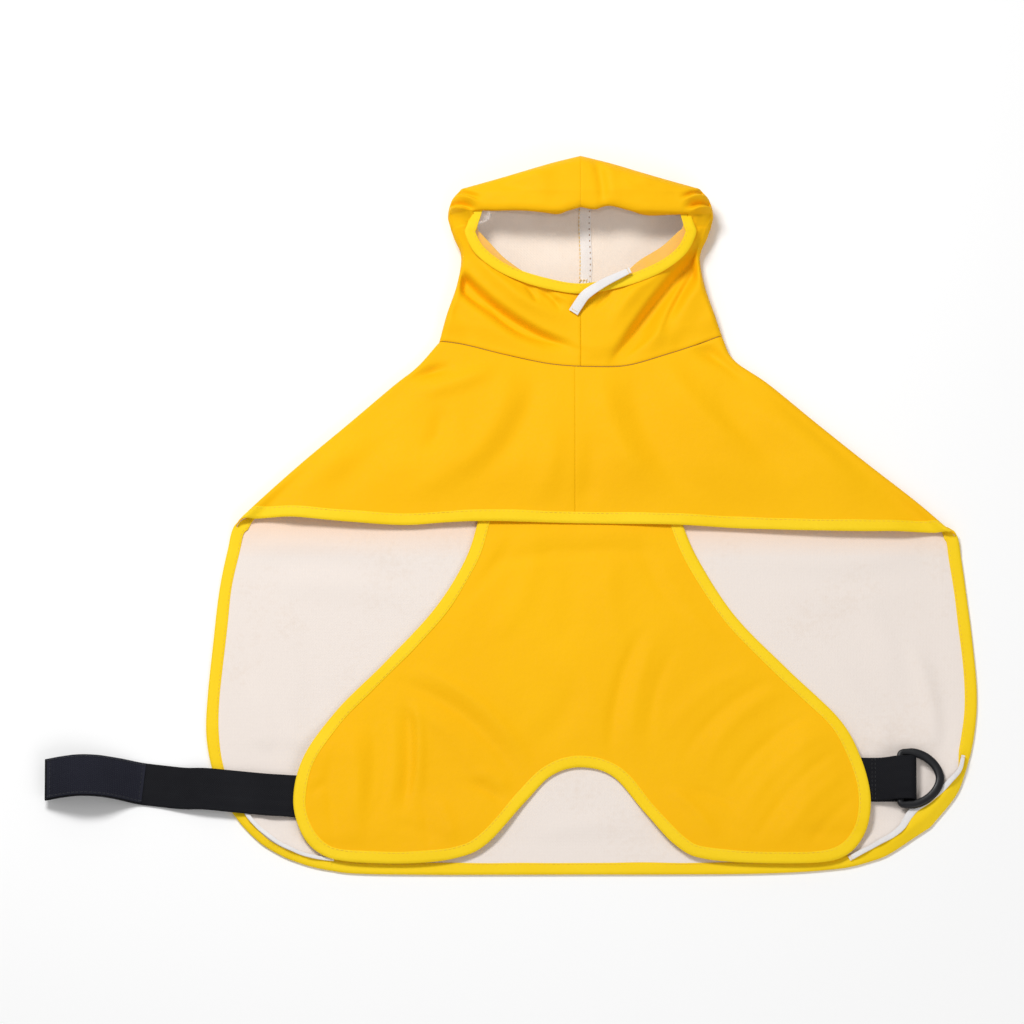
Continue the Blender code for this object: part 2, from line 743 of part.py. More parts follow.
def make_belt_loop(webbing):
    """Webbing folded over the ring's bar, its two layers sewn together under the lobe."""
    bottom = LOOP_LOW
    top = RING_Z * 2 - bottom
    radius = (top - bottom) / 2
    angles = np.linspace(-math.pi / 2, math.pi / 2, 9)
    bend = [(LOOP_END - radius + radius * math.cos(a), RING_Z + radius * math.sin(a)) for a in angles]
    sewn = bottom + 2 * LOOP_THICK + GAP
    profile = [(LOOP_START, bottom), (LOOP_SEWN_END, bottom), *bend]
    profile += [(LOOP_SEWN_END + 10, top - 0.4), (LOOP_SEWN_END + 3, sewn + 0.8)]
    profile += [(LOOP_SEWN_END - 2, sewn), (LOOP_START, sewn)]
    half = LOOP_WIDTH / 2
    grid = np.stack([
        np.array([(u, LOOP_V - half, z) for u, z in profile]),
        np.array([(u, LOOP_V + half, z) for u, z in profile]),
    ])
    sheet = Sheet()
    sheet.add_grid(grid, facing_up=False)
    return sheet.build("belt_loop", webbing, LOOP_THICK, even=True)


def make_ring(plastic):
    """D ring: a straight bar in the webbing loop, and a round bow beyond it."""
    path = []
    for side, start, stop in ((1, math.pi, math.pi / 2), (-1, -math.pi / 2, -math.pi)):
        if side < 0:
            bow = np.linspace(math.pi / 2, -math.pi / 2, 15)[1:-1]
            reach = RING_REACH - RING_STRAIGHT
            path += [(RING_STRAIGHT + reach * math.cos(a), RING_HALF * math.sin(a)) for a in bow]
        middle_v = side * (RING_HALF - RING_CORNER)
        path += [
            (RING_CORNER * (1 + math.cos(a)), middle_v + RING_CORNER * math.sin(a))
            for a in np.linspace(start, stop, 4)
        ]
    curve = bpy.data.curves.new("belt_ring", "CURVE")
    curve.dimensions = "3D"
    spline = curve.splines.new("POLY")
    spline.points.add(len(path) - 1)
    for point, (u, v) in zip(spline.points, path):
        point.co = (u * MM, v * MM, 0.0, 1.0)
    spline.use_cyclic_u = True
    curve.bevel_depth = RING_ROD * MM
    curve.bevel_resolution = 2
    curve.materials.append(plastic)
    ring = bpy.data.objects.new("belt_ring", curve)
    ring.location = (
        (RING_BAR_U - FOOTPRINT_MIDDLE[0]) * MM,
        (LOOP_V - FOOTPRINT_MIDDLE[1]) * MM,
        RING_Z * MM,
    )
    PARTS.objects.link(ring)
    return ring


def make_belt(webbing, hooks):
    route = smooth_path(BELT_ROUTE, 34)
    ribbon("belt_long", route, BELT_WIDTH, BELT_THICK, webbing)
    start = BELT_ROUTE[PATCH_ROUTE_START][0]
    upper = route[route[:, 0] <= start].copy()
    along = np.gradient(upper, axis=0)
    along /= np.linalg.norm(along, axis=1)[:, None]
    lift = BELT_THICK + GAP
    upper[:, 0] += lift * along[:, 2]
    upper[:, 2] += lift * np.abs(along[:, 0])
    ribbon("hook_patch", upper[:-1], PATCH_WIDTH, PATCH_THICK, hooks)


def make_elastics(elastic):
    for name, points, count in (
        ("leg_elastic_right", LEG_ELASTIC_RIGHT, 22),
        ("leg_elastic_left", LEG_ELASTIC_LEFT, 10),
        ("throat_elastic", THROAT_ELASTIC, 16),
    ):
        ribbon(name, smooth_path(points, count), ELASTIC_WIDTH, ELASTIC_THICK, elastic)


def make_seam_tape(tape):
    rows = hood_rows()[0]
    v = np.interp(rows, [0, 1], [centre_v(BACK_NECK) + NECK_GAP, HOOD_TOP[0][1]])
    v = v[(v > TAPE_LOW) & (v < TAPE_HIGH)]
    depth = HOOD_TOP[0][1] - v
    rise = hood_radius(v) * (1 - roll(depth, hood_radius(v)))
    low = WALL + GAP + flap_lift(np.zeros_like(v), v) + rise
    route = np.column_stack([np.zeros_like(v), v, low])
    ribbon("hood_seam_tape", route, TAPE_WIDTH, WALL, tape)


clear_scene()
PARTS = bpy.data.collections.new("dog_raincoat")
bpy.context.scene.collection.children.link(PARTS)

COATED = make_material("coated yellow cloth", (0.95, 0.52, 0.01), 0.42)
BOUND = make_material("bright yellow binding", (0.97, 0.72, 0.06), 0.5)
FILM = make_material("clear film", (0.93, 0.93, 0.92), 0.08, transmission=1.0)
WHITE = make_material("white elastic", (0.85, 0.8, 0.82), 0.8)
TAPED = make_material("white seam tape", (0.86, 0.84, 0.84), 0.6)
BLACK = make_material("black webbing", (0.011, 0.012, 0.015), 0.75)
HOOKS = make_material("black hook tape", (0.02, 0.021, 0.034), 0.9)
PLASTIC = make_material("black plastic", (0.012, 0.012, 0.013), 0.35)

make_body(COATED)
binding("back_binding", back_edge(), BOUND)
binding("front_binding", front_hem_edge(), BOUND, front_binding_low, LOOSE_HEIGHT)
make_belly(COATED)
binding("belly_binding", belly_edge(), BOUND, belly_base, LOOSE_HEIGHT)
make_hood_half("hood_left", -1, COATED)
make_hood_half("hood_right", 1, COATED)
make_seam_tape(TAPED)
make_visor(FILM)
binding("visor_binding", visor_edge(), BOUND, lambda line: visor_base(line[:, 1]))
make_elastics(WHITE)
make_belt(BLACK, HOOKS)
make_belt_loop(BLACK)
make_ring(PLASTIC)
make_flap(COATED, BOUND)
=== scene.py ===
"""Looks of the hooded dog raincoat: coated cloth, bindings, clear visor, webbing and ring.

Shapes are worked out in millimetres about the hood's centre line (u across, v towards the
hood, zero at the front hem), and set into the frame by the CAD seam tape and binding.
"""

import math

import bmesh
import bpy
import numpy as np
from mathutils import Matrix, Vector


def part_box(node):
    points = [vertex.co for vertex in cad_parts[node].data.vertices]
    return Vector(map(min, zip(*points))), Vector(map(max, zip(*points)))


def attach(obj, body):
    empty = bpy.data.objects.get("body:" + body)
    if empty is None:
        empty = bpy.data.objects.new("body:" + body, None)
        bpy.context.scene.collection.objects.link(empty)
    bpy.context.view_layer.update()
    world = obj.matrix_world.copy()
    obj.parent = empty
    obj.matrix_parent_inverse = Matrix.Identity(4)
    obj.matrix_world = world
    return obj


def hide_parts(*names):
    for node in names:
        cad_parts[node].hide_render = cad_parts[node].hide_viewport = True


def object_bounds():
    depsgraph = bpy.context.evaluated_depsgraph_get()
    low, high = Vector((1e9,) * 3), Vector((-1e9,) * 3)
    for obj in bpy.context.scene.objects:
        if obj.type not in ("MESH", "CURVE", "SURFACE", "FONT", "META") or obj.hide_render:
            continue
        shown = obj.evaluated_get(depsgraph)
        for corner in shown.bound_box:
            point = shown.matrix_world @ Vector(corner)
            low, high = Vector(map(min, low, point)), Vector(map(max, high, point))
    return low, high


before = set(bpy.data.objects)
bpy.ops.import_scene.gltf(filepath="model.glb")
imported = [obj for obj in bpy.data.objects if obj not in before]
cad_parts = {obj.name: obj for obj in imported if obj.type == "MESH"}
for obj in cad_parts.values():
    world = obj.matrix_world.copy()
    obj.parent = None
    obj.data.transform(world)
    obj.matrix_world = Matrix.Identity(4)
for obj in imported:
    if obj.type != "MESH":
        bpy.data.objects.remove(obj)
CAD_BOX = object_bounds()

MM = 0.001

# ---------------------------------------------------------------- sizes (mm)
CLOTH = 0.8
TAPE_PROUD = 0.55
TAPE_WIDTH = 7.3
TAPE_BITE = 1.2        # cloth's edge, inside the tape's outer line
STITCH_INSET = 1.3     # stitch line, inside the tape's inner edge
VISOR_TAPE_WIDTH = 6.3
FILM_THICK = 0.35
FRONT_TOP = 8.5
FOLD = FRONT_TOP / 2
SEAM_U = -4.0
SEAM_HALF_GAP = 0.005
BESIDE_FOLD = (0, 0.35, 0.9, 1.7, 2.8, 4.2, 6)   # mesh lines at these distances from a fold
HEM_DROOP = 3.9

# Where the coat's own measure starts, in the frame (mm)
TAPE_LOW_CORNER, TAPE_HIGH_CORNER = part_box("hood_seam_tape")
HEM_LOW_CORNER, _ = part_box("back_binding")
HEM_V = -261.0
CENTRE_X = (TAPE_LOW_CORNER[0] + TAPE_HIGH_CORNER[0]) / 2 / MM
ZERO_Y = HEM_LOW_CORNER[1] / MM - HEM_V

# Outer line of the back's binding, down each side from the shoulder corner
BACK_LEFT = (
    (-237, -9), (-241.5, -26), (-247, -55), (-251, -93), (-254.5, -130), (-255.5, -158), (-252, -182),
    (-244.5, -204), (-233, -222.5),
)
BACK_RIGHT = (
    (257, -16), (260, -33), (263.5, -61), (267, -92), (269.7, -125), (269, -150), (264.5, -177),
    (256.5, -201), (239.5, -222.7),
)
HEM_CORNERS = (BACK_LEFT[-1], BACK_RIGHT[-1])
HEM = (
    (-221, -236), (-211, -243.5), (-196, -251), (-172, -257.5), (-135, -260.5), (0, -260.6), (119, -260),
    (174, -256.5), (199, -250.3), (213, -243.4), (231.6, -229.8),
)

SHOULDER_LEFT = ((-97, 124), (-112, 106), (-128.5, 92), (-159.5, 64), (-191, 36), (-221.5, 7), (-237, -9))
SHOULDER_RIGHT = (
    (97, 128), (105, 111), (128.5, 93.5), (162, 64.3), (195, 36.2), (229, 8), (250, -11), (257, -16),
)
FRONT_NECK = ((-97, 124), (-79, 121), (-52, 114), (-20, 107), (8, 105), (32, 106), (62, 115), (97, 128))
BACK_NECK = ((-97, 124), (-50, 117), (0, 115), (50, 118), (97, 128))
FRONT_HEM = (
    (-237, -9), (-229, -4.4), (-209, -3), (-193, -3.6), (-157, -6.6), (-121, -8.4), (-92, -6.6), (-63, -5.6),
    (0, -6.8), (64, -8.2), (106, -10.4), (143, -12), (181, -13.2), (219, -13.6), (245, -13.8), (257, -16),
)

# Waves of the front hem: u of the crest, half width, height, reach up the panel
HEM_WAVES = (
    (-203, 26, 3.6, 40),
    (-160, 30, 2.4, 46),
    (-92, 34, 1.6, 34),
    (-45, 22, 0.8, 22),
    (60, 38, 1.3, 30),
    (132, 26, 0.8, 26),
    (184, 34, 2.4, 44),
    (226, 22, 3.4, 36),
)

BELLY_LEFT = (
    (-68, 10), (-70, -3), (-79, -33), (-100, -69), (-134, -108), (-167, -143), (-189, -177), (-196, -207),
    (-191, -231),
)
BELLY_RIGHT = (
    (67, 10), (69, -5), (80, -33), (105, -74), (140, -112), (174, -147), (190, -177), (197, -208),
    (192, -234),
)
BELLY_BOTTOM = (
    (-191, -231), (-179, -246), (-160, -252.5), (-117, -254), (-84, -250), (-63, -239), (-37, -208),
    (-20, -190), (0, -184), (22, -191), (43, -217), (64, -241), (85, -251), (135, -254), (174, -251),
    (192, -234),
)
STRAP_LIFT = 3.3
LOOP_LIFT = 4.2

FLAP_HALF = 34.0
FLAP_TOP = 112.0
FLAP_END = 40.0
FLAP_LIFT = 3.9

HOOD_SIDE = ((97, 124), (92, 144), (85, 166), (82, 186), (87, 199), (91, 212), (89, 224), (82, 233))
HOOD_TOP = ((0, 257), (22, 251), (50, 242), (82, 233))
THROAT_EDGE = {
    -1: ((0, 160), (28, 167), (50, 181), (64, 195), (75, 205), (87, 206)),
    1: ((0, 160), (22, 165), (40, 181), (56, 191), (72, 204), (87, 206)),
}
FOREHEAD = {
    -1: ((0, 215), (8, 212.6), (15.5, 210.8), (26, 211.5), (40.5, 212.6), (58, 213), (73, 214), (90, 213)),
    1: ((0, 215), (9.6, 213.4), (20, 215.8), (42, 210.7), (59.6, 210.7), (71, 211.5), (90, 213)),
}
HOOD_HEIGHTS = (
    (105, 8.5), (130, 8.7), (160, 10.4), (185, 12.8), (203, 17.5), (212, 29.0), (226, 31.0), (257, 27.0),
)
CROWN_RADIUS = 11.0
HOOD_OPENING_SHARE = 0.81
TAPE_STITCH = {"Pitch": 3.2, "Length": 2.5, "Thickness": 0.42, "Height": 0.36}

VISOR_OUTLINE = (
    (-74, 219), (-76, 212), (-78, 205), (-79.5, 198), (-73, 185), (-60, 174), (-44, 166), (-25, 160),
    (0, 156), (25, 160), (44, 166), (60, 174), (73, 185), (79.5, 198), (78, 205), (76, 212), (74, 219),
)
VISOR_TOP = 223.0
BARTACK_V = 170.0
VISOR_HEIGHTS = ((150, 12.2), (160, 12.6), (167, 13.3), (185, 15.6), (200, 19.0), (206, 21.0), (221, 22.4))

BELT_WIDTH = 30.0
BELT_THICK = 1.8
BELT_ROUTE = (
    (-162, -206, 1.9), (-190, -205, 2.2), (-204, -204.5, 3.2), (-216, -204, 4.1), (-236, -202, 4.0),
    (-256, -200, 4.0), (-270, -199, 1.6), (-284, -197, 0.1), (-300, -195, 0.3), (-314, -194, 6.5),
    (-328, -194, 13.5), (-341, -194, 15.0), (-352, -194, 11.5), (-364, -194, 5.0),
)
PATCH_FROM_U = -297.0
PATCH_THICK = 1.1
PATCH_WIDTH = 28.0

LOOP_V = -193.0
LOOP_WIDTH = 31.0
LOOP_THICK = 1.5
LOOP_START = 166.0
LOOP_SEWN_END = 203.0
LOOP_END = 228.0
LOOP_LOW = 1.8
RING_Z = LOOP_LOW + LOOP_THICK + 2.7
RING_BAR_U = 217.0
RING_REACH = 27.0
RING_HALF = 18.8
RING_CORNER = 2.4
RING_STRAIGHT = 7.0
BOW_POWER = 1.12

LEG_ELASTIC_RIGHT = (
    (260, -176), (257.5, -186), (251, -194.5), (243.5, -202), (235, -208.8), (227.5, -213.5), (222.5, -219.5),
    (217.5, -228), (210, -234), (199, -240.3), (190.5, -245), (182, -249.5),
)
LEG_ELASTIC_LEFT = (
    (-233.3, -204.8), (-226.8, -218.4), (-221, -226), (-215.6, -231), (-207.9, -237.3),
    (-195.9, -243.7), (-183, -248.2), (-168, -250.4),
)
THROAT_ELASTIC = (
    (34, 172, 17.6), (27, 168.5, 17.5), (18, 164, 17.3), (9, 158.5, 16.9), (3, 154, 16.2),
    (-1, 149, 14.2), (-5, 143, 12.4),
)

# ---------------------------------------------------------------- creases (mm)
# Each row: from u, v; to u, v; sideways bow of the middle; half width; height (troughs are minus);
# and for a crease that leans, how much narrower its left side is, as a share
FRONT_CREASES = (
    (-130, 95, -90, 104, 1, 3.6, -4.0),
    (-112, 86, -60, 104, -2, 6.4, 2.4),
    (-30, 98, -70, 26, 8, 8.8, -2.1),
    (-48, 100, -96, 20, 10, 9.6, 2.1),
    (-96, 74, -104, 44, 3, 6.4, -1.9),
    (-80, 62, -120, 8, 6, 11.2, 1.5),
    (-128, 66, -176, 10, 5, 12.0, -1.9),
    (-158, 52, -206, 4, 3, 9.6, 1.3),
    (-18, 60, -30, 6, 3, 8.0, 1.3),
    (14, 98, 44, 20, -6, 8.8, 2.2),
    (34, 100, 74, 14, -8, 9.6, -2.3),
    (58, 106, 122, 40, -6, 8.8, 2.3),
    (80, 118, 112, 98, 3, 4.8, -4.3),
    (92, 84, 144, 26, -5, 11.2, -2.2),
    (120, 76, 190, 10, 5, 10.4, 2.3),
    (150, 70, 222, 6, 4, 8.0, -1.6),
    (8, 52, 2, 4, 2, 7.2, -1.4),
)
BELLY_CREASES = (
    (-62, -36, 56, -28, 4, 5, -1.1),
    (-58, -20, 50, -14, 3, 6, 0.7),
    (-44, -14, -96, -70, 6, 6, -1.0),
    (-30, -12, -60, -90, 8, 9, 1.0),
    (-8, -30, -14, -96, 5, 10, -0.7),
    (22, -30, 30, -100, -6, 8, 0.8),
    (40, -24, 82, -78, -6, 6, -1.0),
    (54, -40, 96, -92, -5, 5, 0.8),
    (-110, -114, -36, -180, 8, 5, 1.8),
    (-122, -122, -44, -190, 9, 4, -1.8),
    (-128, -136, -62, -200, 9, 6, 1.0),
    (-119, -140, -121, -214, 3, 3.2, -2.2),
    (-112, -140, -112, -206, 2, 3.6, 1.7),
    (-129, -146, -131, -214, 3, 4, 1.4),
    (-143, -152, -146, -218, 3, 4, -1.1),
    (-156, -160, -154, -226, 2, 5, 1.0),
    (-170, -174, -166, -236, -3, 4, -1.0),
    (-76, -194, -50, -212, 2, 3.2, -1.8),
    (-70, -186, -48, -202, 2, 4, 1.1),
    (-98, -206, -88, -246, 3, 4.5, 1.1),
    (-108, -212, -104, -248, 2, 3.4, -1.0),
    (-130, -226, -96, -236, 2, 4, -0.7),
    (-174, -196, -186, -204, 0, 2.8, -1.6),
    (140, -126, 84, -184, -8, 5, 0.9),
    (132, -120, 70, -176, -7, 4, -1.0),
    (118, -112, 56, -162, -7, 6, 0.7),
    (158, -146, 100, -200, -7, 4, -1.0),
    (168, -158, 108, -222, -7, 5, 0.9),
    (176, -172, 118, -240, -7, 3.6, -1.0),
    (184, -186, 132, -246, -6, 4.5, 0.7),
    (188, -206, 152, -248, -4, 3.4, -0.7),
    (60, -200, 92, -236, 3, 4, 1.3),
    (74, -200, 106, -214, 2, 3.2, -1.1),
    (86, -222, 120, -236, 2, 3.4, -0.6),
    (40, -88, 20, -176, -5, 4.5, -1.6),
    (50, -92, 34, -170, -4, 5, 1.0),
    (62, -100, 46, -166, -4, 4, -0.8),
    (-20, -100, 14, -160, 8, 12, 0.8),
    (-2, -120, -34, -172, 6, 8, -0.8),
)
LINING_CREASES = (
    (-236, -24, -120, -34, 8, 10, 1.5),
    (-214, -52, -110, -64, 6, 11, 1.1),
    (-210, -60, -196, -150, 6, 8, 1.2),
    (-176, -140, -168, -192, 2, 4, 1.5),
    (-200, -150, -192, -196, 2, 5, 0.9),
    (-226, -120, -214, -190, 4, 7, 1.1),
    (120, -30, 236, -22, -8, 11, 1.6),
    (130, -54, 224, -60, -4, 10, 0.9),
    (226, -96, 242, -180, 4, 6, 2.3),
    (206, -150, 214, -222, -4, 6, 1.6),
    (190, -60, 214, -130, 5, 10, 1.1),
    (160, -90, 206, -176, 5, 8, 0.8),
    (-30, -232, 34, -226, 4, 8, 0.9),
)
THROAT_CREASES = (
    (-97, 193, -8, 119, -10, 5.4, -10.5, 0.45),
    (-60, 146, -8, 122, -3, 2.6, -2.2),
    (-76, 192, -16, 140, -6, 5.5, 3.4),
    (-84, 172, -44, 126, -5, 6, 1.8),
    (-94, 200, -66, 148, -4, 3.8, -6.0, 0.3),
    (90, 200, 25, 113, -2, 5.6, -10.5, -0.4),
    (70, 190, 22, 138, -3, 5.5, 3.2),
    (92, 196, 57, 130, -3, 4.0, -6.0, -0.3),
    (86, 166, 46, 116, -3, 5, 1.6),
    (50, 132, 20, 112, 2, 4, -2.4, 0.3),
    (88, 150, 60, 120, 3, 7, -1.2),
    (-90, 150, -74, 124, 2, 6, -1.2),
    (-28, 160, -14, 146, 2, 2.4, -2.2),
    (-38, 164, -30, 150, 1, 2.2, -1.6),
    (-20, 156, -6, 150, 1, 2.4, 1.2),
    (20, 160, 10, 147, 1, 2.4, -1.8),
    (48, 132, 66, 116, 2, 6, 0.9),
    (-88, 206, -81, 182, 2, 2.4, -3.0),
    (88, 206, 83, 184, -2, 2.4, -3.0),
)
CROWN_CREASES = (
    (-60, 236, -8, 222, -4, 7, -1.4),
    (-74, 226, -40, 230, 2, 4.5, -1.3),
    (-50, 242, -18, 236, 2, 6, 1.0),
    (10, 250, 15, 216, 2, 3.6, -2.4),
    (20, 246, 26, 218, -2, 6, 1.3),
    (72, 224, 34, 233, 3, 6, -1.4),
    (50, 236, 26, 230, 2, 6, 1.0),
    (-34, 246, -24, 216, 2, 7, 1.1),
)
PUCKERS = (
    (-95, 221, -72, 215, 1, 2.0, -4.8),
    (-94, 213, -75, 210, 1, 1.8, -4.2),
    (-91, 230, -70, 222, 1, 2.0, -4.2),
    (-93, 205, -78, 206, 1, 1.8, -3.8),
    (-93, 217, -76, 213, 1, 1.5, 2.2),
    (-90, 226, -70, 219, 1, 1.5, 2.0),
    (95, 221, 72, 216, -1, 2.0, -4.8),
    (94, 213, 75, 210, -1, 1.8, -4.2),
    (91, 230, 70, 223, -1, 2.0, -4.2),
    (93, 205, 78, 205, -1, 1.8, -3.8),
    (93, 217, 76, 213, -1, 1.5, 2.2),
    (90, 226, 70, 220, -1, 1.5, 2.0),
)
CORNER_CURLS = (
    # u, v, reach, height, share of the tape's width that still shows: corners drawn up by elastics
    (260, -198, 34, 3.2, 1.0),
    (226, -236, 28, 3.0, 1.0),
    (-214, -240, 30, 2.0, 0.58),
)


# ---------------------------------------------------------------- camera, light and floor
def put(name, data):
    thing = bpy.data.objects.new(name, data)
    bpy.context.scene.collection.objects.link(thing)
    return thing


def set_camera():
    tilt = math.radians(20)
    distance = 14.0
    width_seen, sensor = 0.70, 36.0
    low, high = CAD_BOX
    middle = Vector(((low[0] + high[0]) / 2, (low[1] + high[1]) / 2 + 0.004, 0.0))
    camera = put("camera", bpy.data.cameras.new("camera"))
    camera.data.sensor_width = sensor
    camera.data.lens = sensor * distance / width_seen
    camera.location = middle + distance * Vector((0, -math.sin(tilt), math.cos(tilt)))
    camera.rotation_euler = (tilt, 0, 0)
    bpy.context.scene.camera = camera


def add_area_light(name, place, aim, size, power):
    light = bpy.data.lights.new(name, "AREA")
    light.shape = "RECTANGLE"
    light.size, light.size_y = size
    light.energy = power
    thing = put(name, light)
    thing.location = place
    thing.rotation_euler = (Vector(aim) - Vector(place)).to_track_quat("-Z", "Y").to_euler()


def set_studio():
    world = bpy.data.worlds.new("pale studio")
    bpy.context.scene.world = world
    world.use_nodes = True
    background = world.node_tree.nodes["Background"]
    background.inputs["Color"].default_value = (1.0, 1.0, 1.0, 1.0)
    background.inputs["Strength"].default_value = 0.38
    add_area_light("key", (-0.58, 0.82, 1.55), (0, 0, 0), (0.7, 0.5), 24.5)
    add_area_light("fill", (0.9, -1.25, 1.1), (0.15, 0, 0), (1.4, 0.8), 7.6)
    bpy.context.scene.view_settings.view_transform = "Standard"

    mesh = bpy.data.meshes.new("floor")
    half = 6.0
    corners = [(-half, -half, 0), (half, -half, 0), (half, half, 0), (-half, half, 0)]
    mesh.from_pydata(corners, [], [(0, 1, 2, 3)])
    floor = put("floor", mesh)
    floor.location.z = -0.0004
    shader, _ = new_material("pale floor", (0.97, 0.97, 0.97), 0.9)
    mesh.materials.append(shader)


# ---------------------------------------------------------------- materials
def new_material(name, colour, roughness, **settings):
    material = bpy.data.materials.new(name)
    material.use_nodes = True
    shader = material.node_tree.nodes["Principled BSDF"]
    shader.inputs["Base Color"].default_value = (*colour, 1.0)
    shader.inputs["Roughness"].default_value = roughness
    for socket, value in settings.items():
        shader.inputs[socket.replace("_", " ")].default_value = value
    return material, shader


def group_tree(name, inputs, outputs):
    """A shader group that takes a Vector and named numbers, and gives out named numbers."""
    tree = bpy.data.node_groups.new(name, "ShaderNodeTree")
    face = tree.interface
    face.new_socket("Vector", in_out="INPUT", socket_type="NodeSocketVector")
    for label, value in inputs.items():
        face.new_socket(label, in_out="INPUT", socket_type="NodeSocketFloat").default_value = value
    for label in outputs:
        face.new_socket(label, in_out="OUTPUT", socket_type="NodeSocketFloat")
    given, result = tree.nodes.new("NodeGroupInput"), tree.nodes.new("NodeGroupOutput")
    return tree, given.outputs, result.inputs


def math_node(tree, operation, first, second=None, third=None):
    node = tree.nodes.new("ShaderNodeMath")
    node.operation = operation
    for socket, value in zip(node.inputs, (first, second, third)):
        if value is None:
            continue
        if isinstance(value, (int, float)):
            socket.default_value = value
        else:
            tree.links.new(value, socket)
    return node.outputs[0]


def noise_node(tree, vector, scale, detail=2.0, roughness=0.5):
    node = tree.nodes.new("ShaderNodeTexNoise")
    node.inputs["Detail"].default_value = detail
    node.inputs["Roughness"].default_value = roughness
    tree.links.new(vector, node.inputs["Vector"])
    if isinstance(scale, (int, float)):
        node.inputs["Scale"].default_value = scale
    else:
        tree.links.new(scale, node.inputs["Scale"])
    return node.outputs["Fac"]


def remap_node(tree, value, low, high, to_low, to_high):
    node = tree.nodes.new("ShaderNodeMapRange")
    tree.links.new(value, node.inputs["Value"])
    for label, number in zip(("From Min", "From Max", "To Min", "To Max"), (low, high, to_low, to_high)):
        node.inputs[label].default_value = number
    return node.outputs["Result"]


def build_weave_group():
    """Plain weave: threads along and across, each passing over and under."""
    tree, given, result = group_tree(
        "plain weave", {"Threads per metre": 1200.0, "Slub": 0.3}, ("Height", "Gaps"),
    )
    split = tree.nodes.new("ShaderNodeSeparateXYZ")
    tree.links.new(given["Vector"], split.inputs[0])
    turn = math_node(tree, "MULTIPLY", given["Threads per metre"], math.pi)
    waves = [
        math_node(tree, "SINE", math_node(tree, "MULTIPLY", split.outputs[axis], turn)) for axis in "XY"
    ]
    over = math_node(tree, "MULTIPLY", *waves)
    warp, weft = (math_node(tree, "ABSOLUTE", wave) for wave in waves)
    threads = math_node(tree, "MULTIPLY", warp, weft)
    crown = math_node(tree, "MULTIPLY_ADD", over, 0.35, threads)
    slub_scale = math_node(tree, "MULTIPLY", given["Threads per metre"], 0.2)
    slub = noise_node(tree, given["Vector"], slub_scale)
    tree.links.new(math_node(tree, "MULTIPLY_ADD", slub, given["Slub"], crown), result["Height"])
    tree.links.new(math_node(tree, "SUBTRACT", 1.0, threads), result["Gaps"])
    return tree


def build_tone_group():
    """Slow and fast changes of tone that cloth shows from handling and dyeing."""
    tree, given, result = group_tree(
        "soft tone", {"Blotch scale": 9.0, "Speck scale": 160.0, "Speck share": 0.35}, ("Tone", "Specks"),
    )
    slow = noise_node(tree, given["Vector"], given["Blotch scale"], 3.0)
    fast = noise_node(tree, given["Vector"], given["Speck scale"], 4.0, 0.6)
    mixed = math_node(tree, "MULTIPLY_ADD", fast, given["Speck share"], slow)
    tree.links.new(remap_node(tree, mixed, 0.45, 0.9, 0.0, 1.0), result["Tone"])
    tree.links.new(fast, result["Specks"])
    return tree


def build_rib_group():
    """Ribs across a tape, in its own length (X) and width (Y), with a slanted thread in each."""
    tree, given, result = group_tree(
        "tape ribs", {"Ribs per metre": 900.0, "Slant": 0.5, "Chevron width": 0.004}, ("Height", "Gaps"),
    )
    split = tree.nodes.new("ShaderNodeSeparateXYZ")
    tree.links.new(given["Vector"], split.inputs[0])
    zigzag = math_node(tree, "PINGPONG", split.outputs["Y"], given["Chevron width"])
    slanted = math_node(tree, "MULTIPLY_ADD", zigzag, given["Slant"], split.outputs["X"])
    turn = math_node(tree, "MULTIPLY", given["Ribs per metre"], math.pi)
    rib = math_node(tree, "ABSOLUTE", math_node(tree, "SINE", math_node(tree, "MULTIPLY", slanted, turn)))
    cross = math_node(tree, "MULTIPLY", split.outputs["Y"], math_node(tree, "MULTIPLY", turn, 1.3))
    thread = math_node(tree, "ABSOLUTE", math_node(tree, "SINE", cross))
    tree.links.new(math_node(tree, "MULTIPLY_ADD", thread, 0.3, rib), result["Height"])
    tree.links.new(math_node(tree, "SUBTRACT", 1.0, rib), result["Gaps"])
    return tree


def place_group(material, group, vector, **values):
    node = material.node_tree.nodes.new("ShaderNodeGroup")
    node.node_tree = group
    material.node_tree.links.new(vector, node.inputs["Vector"])
    for label, value in values.items():
        node.inputs[label.replace("_", " ")].default_value = value
    return node


def object_place(material):
    return material.node_tree.nodes.new("ShaderNodeTexCoord").outputs["Object"]


def tape_place(material):
    node = material.node_tree.nodes.new("ShaderNodeUVMap")
    node.uv_map = "tape"
    return node.outputs["UV"]


def mix_colours(material, factor, first, second):
    tree = material.node_tree
    node = tree.nodes.new("ShaderNodeMix")
    node.data_type = "RGBA"
    tree.links.new(factor, node.inputs["Factor"])
    for socket, colour in ((node.inputs[6], first), (node.inputs[7], second)):
        if isinstance(colour, tuple):
            socket.default_value = (*colour, 1.0)
        else:
            tree.links.new(colour, socket)
    return node.outputs[2]


def add_bump(material, shader, heights):
    """Bump nodes one after another: height socket, distance in metres and strength."""
    tree = material.node_tree
    normal = None
    for height, distance, strength in heights:
        bump = tree.nodes.new("ShaderNodeBump")
        bump.inputs["Distance"].default_value = distance
        bump.inputs["Strength"].default_value = strength
        tree.links.new(height, bump.inputs["Height"])
        if normal is not None:
            tree.links.new(normal, bump.inputs["Normal"])
        normal = bump.outputs["Normal"]
    tree.links.new(normal, shader.inputs["Normal"])


def toned(material, dull, clean, blotch, speck, share=0.35):
    """Soft tone on the piece's own place: its node, and a colour that wanders between two tones."""
    tone = place_group(
        material, TONE, object_place(material), Blotch_scale=blotch, Speck_scale=speck, Speck_share=share,
    )
    return tone, mix_colours(material, tone.outputs["Tone"], dull, clean)


